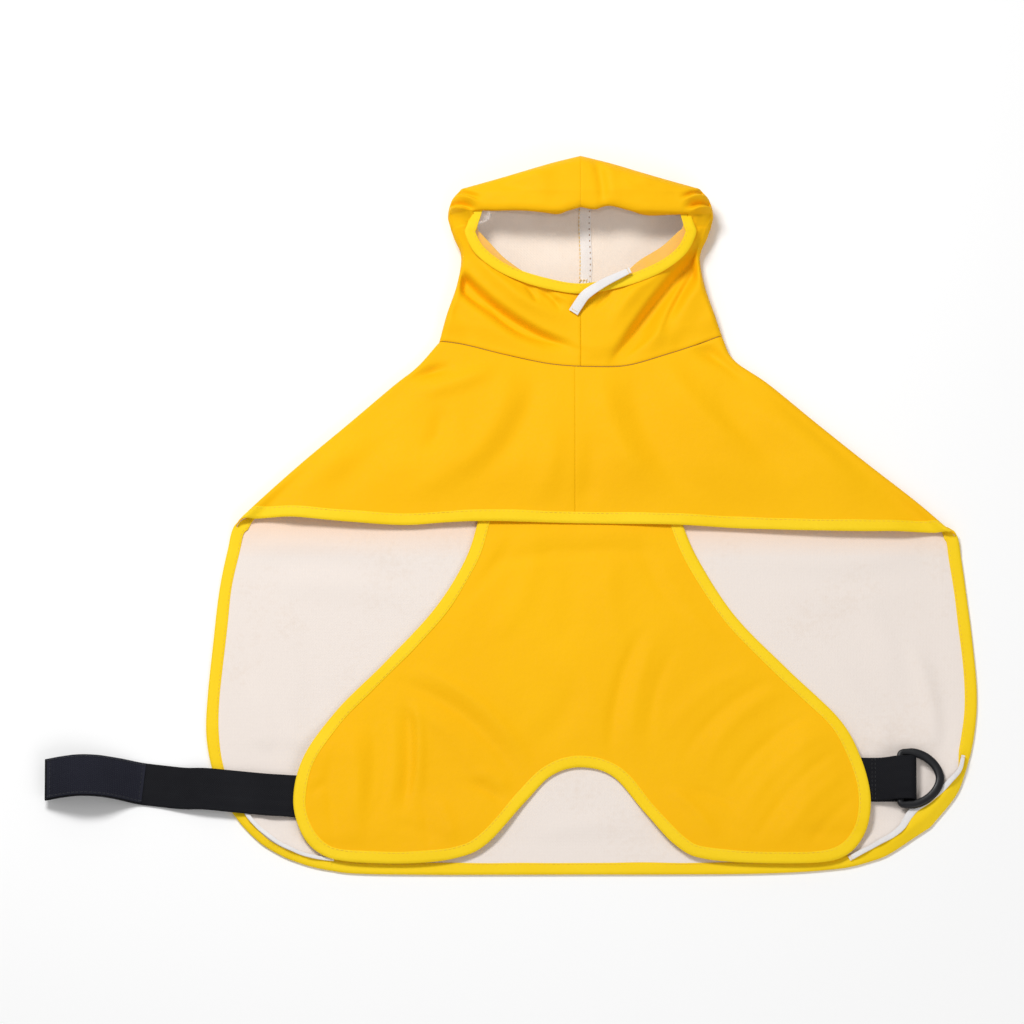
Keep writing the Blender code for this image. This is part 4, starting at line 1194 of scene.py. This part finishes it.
def make_body():
    """Back with the two fronts cut on, folded over at the shoulders and seamed down the front."""
    rows = fine_ends(190, (0, 1.2, 2.4, 4, 6), (0, 0.5, 1.1, 1.9, 3, 4.5), 62)
    left = smooth_path(SHOULDER_LEFT, 1 - rows)
    right = smooth_path(SHOULDER_RIGHT, 1 - rows)
    across = fine_ends(330, BESIDE_FOLD, BESIDE_FOLD, 150)
    hem_line = left[0] + across[:, None] * (right[0] - left[0])
    sheet = Sheet()
    flat = patch(hem_line, smooth_path(BACK_NECK, across), left, right, across, rows)
    yoke = sheet.add_grid(with_height(flat, back_low(flat)), facing_up=False)

    neck = smooth_path(FRONT_NECK, 400)
    hem = smooth_path(FRONT_HEM, 400)
    for side, fold in ((-1, left), (1, right)):
        half_neck = neck[neck[:, 0] < SEAM_U] if side < 0 else neck[neck[:, 0] > SEAM_U][::-1]
        half_hem = hem[hem[:, 0] < SEAM_U] if side < 0 else hem[hem[:, 0] > SEAM_U][::-1]
        steps = fine_ends(160, BESIDE_FOLD, (0, 0.35, 0.8, 1.4, 2.4), 74)
        seam_u = SEAM_U + side * SEAM_HALF_GAP
        high = smooth_path([*half_neck[:-1], (seam_u, half_neck[-1][1])], steps)
        low = smooth_path([*half_hem[:-1], (seam_u, half_hem[-1][1])], steps)
        seam = low[-1] + rows[:, None] * (high[-1] - low[-1])
        flat = patch(low, high, fold, seam, steps, rows)
        shared = {(row, 0): yoke[row, 0 if side < 0 else -1] for row in range(len(rows))}
        sheet.add_grid(with_height(flat, front_high(flat)), facing_up=side < 0, shared=shared)

    drop = fine_ends(235, (0, 2, 4, 7), (0, 3, 6, 10), 84)
    outline = back_ring()
    hem_outer = cut_line(outline, *HEM_CORNERS, across)
    left = inset(cut_line(outline, outline[0], HEM_CORNERS[0], drop), TAPE_BITE)
    right = inset(cut_line(outline, outline[-1], HEM_CORNERS[1], drop)[::-1], TAPE_BITE)[::-1]
    left[0], right[0] = hem_line[0], hem_line[-1]
    low = inset(hem_outer, TAPE_BITE)
    low[0], low[-1] = left[-1], right[-1]
    flat = patch(low, hem_line, left[::-1], right[::-1], across, 1 - drop[::-1])
    shared = {(len(drop) - 1, col): yoke[0, col] for col in range(len(across))}
    sheet.add_grid(with_height(flat, back_low(flat)), facing_up=False, shared=shared)
    sheet.pull_in(SHOULDER_LEFT[-1], 1.0)
    sheet.pull_in(SHOULDER_RIGHT[-1], -1.0)
    body = sew_on(sheet.build("body_cloth", YELLOW, CREAM), "coated_cloth", "body")
    return body, sheet.area


def make_front_tape():
    """Tape along the front hem, squeezed to nothing where each shoulder's fold cuts across it."""
    line = smooth_path(FRONT_HEM, 300)
    line = line[fold_depth(line) > 1.3]
    widths = np.clip(fold_depth(line) * 1.08, 0.8, TAPE_WIDTH)
    tape = bind_edge("front_tape", line, front_high, TAPE, widths=widths, seed=5)
    tape_stitches("front_tape_stitches", line, front_high, widths)
    return sew_on(tape, "binding", "front_binding")


def back_high(points):
    return back_low(points) + CLOTH


def tape_bed(points):
    """Where the back's tape lies: on the cloth, and a little clear of it at the shoulder corners."""
    u, v = points[..., 0], points[..., 1]
    gaps = [np.hypot(u - corner[0], v - corner[1]) for corner in (BACK_LEFT[0], BACK_RIGHT[0])]
    return back_high(points) + 0.8 * (1 - smoothstep(np.minimum(*gaps), 7, 18))


def make_back_tape():
    """Tape down both sides and round the hem, from under each shoulder's fold."""
    line = inset(smooth_path([(-225, -0.2), *back_ring(), (247, -7.6)], 620), TAPE_BITE)
    lengths = path_lengths(line)
    from_end = np.minimum(lengths, lengths[-1] - lengths)
    widths = TAPE_WIDTH * (0.35 + 0.65 * smoothstep(from_end, 0, 10))
    for middle_u, middle_v, reach, _, share in CORNER_CURLS:
        gap = np.hypot(line[:, 0] - middle_u, line[:, 1] - middle_v)
        widths = widths * (1 - (1 - share) * np.exp(-(gap / reach) ** 2))

    # At the right corner the rolled edge shows as far as the elastic
    place = np.arange(len(line))
    first, last = sorted(
        int(np.argmin(np.hypot(line[:, 0] - u, line[:, 1] - v)))
        for u, v in (LEG_ELASTIC_RIGHT[0], LEG_ELASTIC_RIGHT[-1])
    )
    held = plateau(place, first - 5, first + 12, last - 12, last + 5)
    widths = widths * (1 - held) + (nearest(LEG_ELASTIC_RIGHT, line) + 0.4) * held
    tape = bind_edge("back_tape", line, tape_bed, TAPE, widths=widths, seed=8, spread=9)
    tape_stitches("back_tape_stitches", line, tape_bed, widths, both=True, spread=9)
    return sew_on(tape, "binding", "back_binding")


def make_belly():
    """Belly panel, arched between its two lobes, with its tape and stitches."""
    in_tape = (0, 2, 4, 6, 9)
    columns = fine_ends(430, in_tape, in_tape, 190)
    rows = fine_ends(310, (0, 3, 6), in_tape, 110)
    outline = belly_ring()
    left = cut_line(outline, outline[0], BELLY_BOTTOM[0], rows)
    right = cut_line(outline, outline[-1], BELLY_BOTTOM[-1], rows)
    bottom = cut_line(outline, BELLY_BOTTOM[0], BELLY_BOTTOM[-1], columns)
    inner_left = inset(left, TAPE_BITE)
    inner_right = inset(right[::-1], TAPE_BITE)[::-1]
    inner_bottom = inset(bottom, TAPE_BITE)
    inner_bottom[0], inner_bottom[-1] = inner_left[-1], inner_right[-1]
    top = inner_left[0] + columns[:, None] * (inner_right[0] - inner_left[0])
    flat = patch(inner_bottom, top, inner_left[::-1], inner_right[::-1], columns, 1 - rows[::-1])
    sheet = Sheet()
    sheet.add_grid(with_height(flat, belly_high(flat)))
    panel = sew_on(sheet.build("belly_cloth", YELLOW, CREAM), "coated_cloth", "belly_panel")

    line = inset(smooth_path(outline, 460), TAPE_BITE)
    tape = sew_on(bind_edge("belly_tape", line, belly_high, TAPE), "binding", "belly_binding")
    tape_stitches("belly_stitches", line, belly_high)
    return panel, tape, sheet.area


def centre_v(line):
    points = smooth_path(line, 60)
    return np.interp(0.0, points[:, 0], points[:, 1])


def half_neck(line, side):
    """The half of a neckline on one side, from the centre out, in half widths."""
    half = sorted((side * u, v + 0.12) for u, v in smooth_path(line, 60) if side * u > 4)
    return [(0.0, centre_v(line) + 0.12), *half]


def centre_line(low, high, fractions):
    return np.column_stack([np.zeros(len(fractions)), low + fractions * (high - low)])


def panel_patch(line, corner):
    """Grid over a panel with a rounded lower edge, its sides a number of points long, and its top."""
    left, right, bottom = line[:corner + 1][::-1], line[-corner - 1:], line[corner:-corner]
    across, along = np.linspace(0, 1, len(bottom)), np.linspace(0, 1, len(left))
    top = left[-1] + across[:, None] * (right[-1] - left[-1])
    return patch(bottom, top, left, right, across, along), top


def make_hood_half(side):
    """Half of the hood: back layer, throat and crown, joined along the fold round its side and top."""
    across = fine_ends(97, (0, 0.3, 0.7, 1.3, 2.2), (0, 0.35, 0.9, 1.7, 2.6, 3.5), 84)
    throat = fine_ends(82, (0, 0.6, 1.2, 2, 3), (0, 1, 2), 66)
    crown = fine_ends(45, (0, 0.7, 1.5), (0, 0.35, 0.9, 1.7, 3, 5), 36)
    throat_share, crown_share = 0.72, 0.21
    whole = np.concatenate([throat * throat_share, 1 - crown_share * (1 - crown)])
    neck_front, neck_back = half_neck(FRONT_NECK, side), half_neck(BACK_NECK, side)
    hood_side = [neck_back[-1], *HOOD_SIDE[1:]]
    side_line = smooth_path(hood_side, whole)
    top_line = smooth_path(HOOD_TOP, across)
    outline = np.vstack([smooth_path(hood_side, 60)[:-1], smooth_path(HOOD_TOP, 40)[::-1]])
    sheet = Sheet()

    def place(flat, heights):
        grid = with_height(flat, heights)
        grid[:, 0, 0] = SEAM_HALF_GAP
        grid[..., 0] *= side
        return grid

    low_line = smooth_path(neck_back, across)
    centre = centre_line(neck_back[0][1], HOOD_TOP[0][1], whole)
    flat = patch(low_line, top_line, centre, side_line, across, whole)
    back = sheet.add_grid(place(flat, hood_low(flat, nearest(outline, flat, 120))), facing_up=side < 0)

    split = len(throat)
    low_line = smooth_path(neck_front, across)
    low_line[-1] = side_line[0]
    edge = smooth_path(THROAT_EDGE[side], across)
    edge[-1] = side_line[split - 1]
    centre = centre_line(low_line[0][1], edge[0][1], throat)
    lower = patch(low_line, edge, centre, side_line[:split], across, throat)
    brow = smooth_path(FOREHEAD[side], across)
    brow[-1] = side_line[split]
    centre = centre_line(brow[0][1], HOOD_TOP[0][1], crown)
    upper = patch(brow, top_line, centre, side_line[split:], across, crown)
    flat = np.concatenate([lower, upper])
    depth = nearest(outline, flat, 120)
    heights = hood_high(flat, depth, side)

    # The crown's lower edge turns under in a soft roll
    edge_gap = np.abs(flat[split:, :, 1] - flat[split:split + 1, :, 1])
    heights[split:] -= 3.2 * (1 - roll(edge_gap, 5.0)) * smoothstep(depth[split:], 4, 14)
    last = len(whole) - 1
    shared = {(row, len(across) - 1): back[row, -1] for row in range(len(whole))}
    shared.update({(last, col): back[last, col] for col in range(len(across))})
    opening = int(np.searchsorted(across, HOOD_OPENING_SHARE))
    sheet.add_grid(
        place(flat, heights), side > 0, shared,
        keep=lambda row, col: row != split - 1 or col >= opening,
    )
    word = "left" if side < 0 else "right"
    half = sew_on(sheet.build(f"hood_{word}_cloth", YELLOW, HOOD_CREAM_PAINTED_LIGHT), "coated_cloth", f"hood_{word}")
    return half, sheet.area


def make_neck_seam():
    """Thread drawn down into the seam between the hood and the fronts: a cord filling the gap there, its dark
    ochre painted shade under the hood's edge.
    """
    line = smooth_path(FRONT_NECK, 160)[3:-3]
    flat = line + np.array([0.0, 0.05])
    heights = front_high(line) - 0.1
    grow("neck_stitches", [with_height(flat, heights)], LINE_STITCHES, SEAM_SHADE_THREAD,
         {"Pitch": 1.9, "Length": 2.6, "Thickness": 0.9, "Height": 0.9})


def make_seam_tape():
    """Tape up the inside of the hood's back seam, with its yellow stitch line and loose dots."""
    v = np.linspace(117.5, 243, 90)
    low = hood_low(np.column_stack([np.zeros_like(v), v]), HOOD_TOP[0][1] - v) + CLOTH
    centre = np.column_stack([3.4 + 0.4 * np.sin(v / 9), v, low + 0.25])
    tangent = unit(np.gradient(centre, axis=0))
    across = np.tile([1.0, 0.0, 0.0], (len(v), 1))
    up = unit(np.cross(across, tangent))
    section = [(-4, 0), (4, 0), (4, 0.3), (2, 0.55), (0, 0.7), (-2, 0.55), (-4, 0.3)]
    sew_on(sweep("hood_tape", centre, across, up, section, SEAL), "seam_tape", "hood_seam_tape")
    grow("hood_tape_stitches", [centre + across * -4.1 + up * 0.35], LINE_STITCHES, GOLD_THREAD,
         {"Pitch": 2.9, "Length": 2.6, "Thickness": 0.8, "Height": 0.5})
    grow("hood_tape_dots", [centre + across * 2.9 + up * 0.5], LINE_STITCHES, BROWN_THREAD,
         {"Pitch": 4.2, "Length": 1.5, "Thickness": 0.9, "Height": 0.35})
    level = np.interp(BARTACK_V, v, low) + 1.1
    bars = [
        [(-0.5 + 1.1 * k, BARTACK_V - 0.5 + k % 2, level), (-0.1 + 1.1 * k, BARTACK_V + 0.9, level)]
        for k in range(5)
    ]
    grow("hood_tape_bartack", bars, LINE_STITCHES, GOLD_THREAD,
         {"Pitch": 0.7, "Length": 1.3, "Thickness": 0.7, "Height": 0.6})


def visor_high(points):
    u, v = points[..., 0], points[..., 1]
    under_crown = 3.0 * smoothstep(np.abs(u), 60, 74) * smoothstep(v, 200, 212)
    return visor_base(v) + 1.3 + 0.4 * np.sin(u / 11.0 + 0.6) * smoothstep(v, 166, 190) - under_crown


def make_visor():
    """Clear film with its bound lower edge, and a plain tail that goes up under the crown."""
    outline = smooth_path(VISOR_OUTLINE, 161)
    line = inset(outline, TAPE_BITE)
    flat, top = panel_patch(line, 34)
    tail = np.stack([
        np.column_stack([top[:, 0] * (1 - 0.1 * t), top[:, 1] + (VISOR_TOP - top[:, 1]) * t])
        for t in np.linspace(0.1, 1, 9)
    ])
    flat = np.concatenate([flat, tail])
    sheet = Sheet()
    sheet.add_grid(with_height(flat, visor_high(flat)))
    film = sew_on(sheet.build("visor_film", FILM, FILM, FILM_THICK), "clear_film", "visor")
    widths = np.full(len(line), VISOR_TAPE_WIDTH)
    tape = bind_edge("visor_tape", line, visor_high, TAPE, FILM_THICK, widths)
    sew_on(tape, "binding", "visor_binding")
    tape_stitches("visor_stitches", line, visor_high, widths)
    return film, tape, sheet.area


def strap_section(width, thick):
    half = width / 2
    r = 0.45 * thick
    corner = 0.3 * r
    points = [(-half + r, 0), (half - r, 0), (half - corner, corner), (half, r), (half, thick - r)]
    points += [(half - corner, thick - corner), (half - r, thick), (0, thick * 0.97), (-half + r, thick)]
    points += [(-half + corner, thick - corner), (-half, thick - r), (-half, r), (-half + corner, corner)]
    return points


def laid_on(route, surface, count):
    """A route on a surface: its points, and their heights just above it and above any tape there."""
    flat = smooth_path(route, count)
    edge = nearest(back_ring(), flat)
    over_tape = TAPE_PROUD * 1.15 * (1 - smoothstep(edge, 8, 11))
    wave = 0.35 * (1 + np.sin(path_lengths(flat) / 2.6))
    return with_height(flat, surface(flat) + over_tape + 0.25 + wave)


def strip(name, route, width, thick, material, count):
    """A flat strip along a route of u, v and the height of its underside; its width may change."""
    centre = smooth_path(route, count)
    tangent = unit(np.gradient(centre, axis=0))
    across = unit(np.cross(tangent, [0.0, 0.0, 1.0]))
    up = unit(np.cross(across, tangent))
    widths = np.atleast_1d(width).astype(float)
    shares = np.interp(np.linspace(0, 1, count), np.linspace(0, 1, len(widths)), widths / widths.max())
    section = strap_section(widths.max(), thick)
    return sweep(name, centre, across * shares[:, None], up, section, material), centre, across, up


def make_belt():
    """Long end of the belt, with the hook tape sewn on its free end."""
    belt, centre, across, up = strip("belt_webbing", BELT_ROUTE, BELT_WIDTH, BELT_THICK, WEBBING, 170)
    sew_on(belt, "black_webbing", "belt_long")
    on_patch = centre[:, 0] <= PATCH_FROM_U
    middle, side, high = centre[on_patch][:-2], across[on_patch][:-2], up[on_patch][:-2]
    base = middle + high * (BELT_THICK + 0.05)
    section = strap_section(PATCH_WIDTH, PATCH_THICK)
    sew_on(sweep("hook_tape", base, side, high, section, HOOK_GROUND), "hook_tape", "hook_patch")

    # Hooks in rows, and the box of stitches that holds the tape down
    top = base + high * (PATCH_THICK + 0.2)
    lengths = path_lengths(top)
    steps = np.arange(2.2, lengths[-1] - 2.0, 1.35)
    row = np.arange(-PATCH_WIDTH / 2 + 1.6, PATCH_WIDTH / 2 - 1.6, 1.3)
    hooks = []
    for number, step in enumerate(steps):
        spot = np.array([np.interp(step, lengths, top[:, k]) for k in range(3)])
        aside = np.array([np.interp(step, lengths, side[:, k]) for k in range(3)])
        shift = 0.4 if number % 2 else 0.0
        hooks.extend(spot + aside * (k + shift) for k in row)
    grow("hook_rows", [[hook] for hook in hooks], POINT_BEADS, HOOK_THREAD,
         {"Length": 0.5, "Thickness": 0.75, "Height": 1.0})
    inner = PATCH_WIDTH / 2 - 1.1
    rim = [top[1:-1] + side[1:-1] * inner, top[1:-1] - side[1:-1] * inner]
    rim += [np.linspace(top[n] - side[n] * inner, top[n] + side[n] * inner, 12) for n in (2, -3)]
    grow("hook_tape_stitches", rim, LINE_STITCHES, BLACK_THREAD,
         {"Pitch": 3.0, "Length": 2.4, "Thickness": 0.5, "Height": 0.45})


def make_belt_loop():
    """Webbing folded over the ring's bar, its two layers sewn together under the lobe."""
    low = LOOP_LOW
    top = RING_Z * 2 - low
    radius = (top - low) / 2
    sewn = low + 2 * LOOP_THICK + 0.3
    angles = np.linspace(-math.pi / 2, math.pi / 2, 22)
    bend = [(LOOP_END - radius + radius * math.cos(a), RING_Z + radius * math.sin(a)) for a in angles]
    line = [(LOOP_START + 4, low), (LOOP_SEWN_END, low), (LOOP_END - radius - 4, low)]
    line += bend[::3] + [(LOOP_SEWN_END + 12, top - 0.3), (LOOP_SEWN_END + 5, sewn + 1.8)]
    line += [(LOOP_SEWN_END - 1, sewn + 0.1), (LOOP_SEWN_END - 12, sewn), (LOOP_START + 4, sewn)]
    path = smooth_path(line, 110)
    centre = np.column_stack([path[:, 0], np.full(len(path), LOOP_V), path[:, 1]])
    tangent = unit(np.gradient(centre, axis=0))
    across = np.tile([0.0, 1.0, 0.0], (len(path), 1))
    up = unit(np.cross(across, tangent))
    section = strap_section(LOOP_WIDTH, LOOP_THICK)
    flip = -1.0 if (up[len(up) // 2] @ np.array([1.0, 0, 0])) > 0 else 1.0
    loop = sweep("loop_webbing", centre, across, up * flip, section, WEBBING)
    sew_on(loop, "black_webbing", "belt_loop")
    half = LOOP_WIDTH / 2 - 1.6
    seams = [
        np.array([(u, LOOP_V + y, sewn + 0.15) for y in np.linspace(-half, half, 12)])
        for u in (LOOP_SEWN_END - 3, LOOP_SEWN_END - 5.2)
    ]
    grow("loop_stitches", seams, LINE_STITCHES, BLACK_THREAD,
         {"Pitch": 2.8, "Length": 2.3, "Thickness": 0.4, "Height": 0.2})


def make_ring():
    """D ring of moulded plastic: a straight bar in the webbing loop, and a round bow beyond it."""
    def bulge(value, power):
        return math.copysign(abs(value) ** power, value)

    path = []
    for side, start, stop in ((1, math.pi, math.pi / 2), (-1, -math.pi / 2, -math.pi)):
        if side < 0:
            for a in np.linspace(math.pi / 2, -math.pi / 2, 49)[1:-1]:
                out = (RING_REACH - RING_STRAIGHT) * abs(math.cos(a)) ** BOW_POWER
                path.append((RING_STRAIGHT + out, RING_HALF * bulge(math.sin(a), BOW_POWER)))
        middle_v = side * (RING_HALF - RING_CORNER)
        path += [
            (RING_CORNER * (1 + math.cos(a)), middle_v + RING_CORNER * math.sin(a))
            for a in np.linspace(start, stop, 9)
        ]
    from_bar = np.array([u for u, v in path])
    path = np.array([(RING_BAR_U + u, LOOP_V + v, RING_Z) for u, v in path])
    tangent = unit(np.roll(path, -1, axis=0) - np.roll(path, 1, axis=0))
    up = np.tile([0.0, 0.0, 1.0], (len(path), 1))
    across = unit(np.cross(tangent, up)) * (1 + 0.28 * smoothstep(from_bar, 1, 9))[:, None]
    turns = np.linspace(0, 2 * math.pi, 20, endpoint=False)
    squareness = 0.72
    section = [
        (2.3 * bulge(math.cos(a), squareness), 2.05 * bulge(math.sin(a), squareness)) for a in turns
    ]
    ring = sweep("ring_moulding", path, across, up, section, PLASTIC, closed=True)
    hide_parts("belt_ring")
    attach(ring, "ring")


def make_elastics():
    """Leg elastics along the hem corners, and the throat elastic: each with a tack at both ends."""
    right_route = laid_on(LEG_ELASTIC_RIGHT, back_high, 40)
    left_route = laid_on(LEG_ELASTIC_LEFT, back_high, 26)
    for name, node, route, width, count in (
        ("right_leg_elastic", "leg_elastic_right", right_route, (2.6, 3.4, 4.2, 5.4, 4.2, 3.2, 3.8), 150),
        ("left_leg_elastic", "leg_elastic_left", left_route, (3.0, 2.8, 2.4), 90),
        ("throat_elastic_tape", "throat_elastic", THROAT_ELASTIC, (4.2, 5.8, 7.0, 7.2), 60),
    ):
        piece, centre, across, up = strip(name, route, width, 0.9, ELASTIC, count)
        sew_on(piece, "white_elastic", node)
        ends = [
            [centre[spot] + across[spot] * a + up[spot] * 1.0 for a in np.linspace(-1.9, 1.9, 5)]
            for spot in (2, -3)
        ]
        grow(f"{name}_tacks", ends, LINE_STITCHES, GOLD_THREAD,
             {"Pitch": 1.2, "Length": 1.1, "Thickness": 0.4, "Height": 0.35})


def make_flap():
    """Leash flap on the outside of the back, with its bound edge."""
    straight = FLAP_END + FLAP_HALF
    angles = np.linspace(math.pi, 2 * math.pi, 60)
    arc = np.column_stack([FLAP_HALF * np.cos(angles), straight + FLAP_HALF * np.sin(angles)])
    down = np.linspace(FLAP_TOP, straight, 26)[:-1]
    outline = np.vstack([
        np.column_stack([np.full(len(down), -FLAP_HALF), down]), arc,
        np.column_stack([np.full(len(down), FLAP_HALF), down[::-1]]),
    ])

    def flap_high(points):
        return np.full(points.shape[:-1], TAPE_PROUD * 1.12 + CLOTH + 0.05)

    line = inset(outline, TAPE_BITE)
    flat, _ = panel_patch(line, 38)
    sheet = Sheet()
    sheet.add_grid(with_height(flat, flap_high(flat) - CLOTH), facing_up=False)
    flap = sew_on(sheet.build("flap_cloth", YELLOW, CREAM), "coated_cloth", "leash_flap")
    tape = bind_edge("flap_tape", line, flap_high, TAPE)
    sew_on(tape, "binding", "flap_binding")
    inner = line + (TAPE_WIDTH - STITCH_INSET) * inward_normals(line)
    rows = [with_height(inner, np.full(len(inner), 0.1))]
    grow("flap_stitches", rows, LINE_STITCHES, GOLD_THREAD, TAPE_STITCH)
    return flap, tape, sheet.area


set_camera()
WEAVE, TONE, RIBS = build_weave_group(), build_tone_group(), build_rib_group()
set_studio()
YELLOW = coated_cloth()
TAPE = ribbed_tape(
    "bright yellow binding", (0.95, 0.65, 0.01), 0.6, (1250.0, 0.35, 0.5),
    ((0.94, 0.62, 0.006), (0.975, 0.68, 0.016), 18.0, 500.0), (0.4, 0.35, (0.83, 0.5, 0.008)),
    (0.00012, 0.5), Specular_IOR_Level=0.12,
)
# Heights up the coat between which the lining gets its painted warm bounce light under the front hem.
PAINTED_HEM_BOUNCE = ((ZERO_Y - 32) * MM, (ZERO_Y - 9) * MM)
CREAM = lining_cloth("cream inner face", (0.80, 0.695, 0.615), (0.845, 0.76, 0.70), PAINTED_HEM_BOUNCE)
# The hood's inner face is a warmer, brighter copy of the cream lining: painted warm bounce light that lifts
# the shade under the crown.
HOOD_CREAM_PAINTED_LIGHT = lining_cloth("hood's inner face, painted warm light", (0.96, 0.76, 0.60), (0.985, 0.84, 0.70))
WEBBING = ribbed_tape(
    "black webbing", (0.006, 0.006, 0.009), 0.75, (620.0, 1.0, 0.0038),
    ((0.0050, 0.0052, 0.0075), (0.0095, 0.010, 0.013), 30.0, 700.0), (0.3, 0.7, (0.0022, 0.0022, 0.0035)),
    (0.0003, 0.7), Specular_IOR_Level=0.16,
)
ELASTIC = ribbed_tape(
    "white elastic", (0.86, 0.83, 0.82), 0.7, (1500.0, 0.2, 0.5),
    ((0.84, 0.81, 0.80), (0.90, 0.88, 0.87), 60.0, 800.0), (0.4, 0.4, (0.6, 0.55, 0.56)),
    (0.0002, 0.6), Sheen_Weight=0.2,
)
HOOK_GROUND, HOOK_THREAD = hook_base(), hook_thread()
SEAL, FILM, PLASTIC = seam_tape(), clear_film(), ring_plastic()
GOLD_THREAD = sewing_thread("yellow thread", (0.93, 0.56, 0.02))
BROWN_THREAD = sewing_thread("tan thread", (0.42, 0.20, 0.06))
# Dark ochre for the cord in the neck seam: painted shade of the seam line under the hood's edge.
SEAM_SHADE_THREAD = sewing_thread("ochre thread", (0.36, 0.16, 0.008))
BLACK_THREAD = sewing_thread("black thread", (0.007, 0.007, 0.010))
LINE_STITCHES = build_stitch_tree("stitches along a line", True)
POINT_BEADS = build_stitch_tree("beads on points", False)

body, body_area = make_body()
front_tape, back_tape = make_front_tape(), make_back_tape()
belly, belly_tape, belly_area = make_belly()
left_hood, left_area = make_hood_half(-1)
right_hood, right_area = make_hood_half(1)
make_neck_seam()
make_seam_tape()
film, visor_tape, film_area = make_visor()
make_belt()
make_belt_loop()
make_ring()
make_elastics()
flap, flap_tape, flap_area = make_flap()
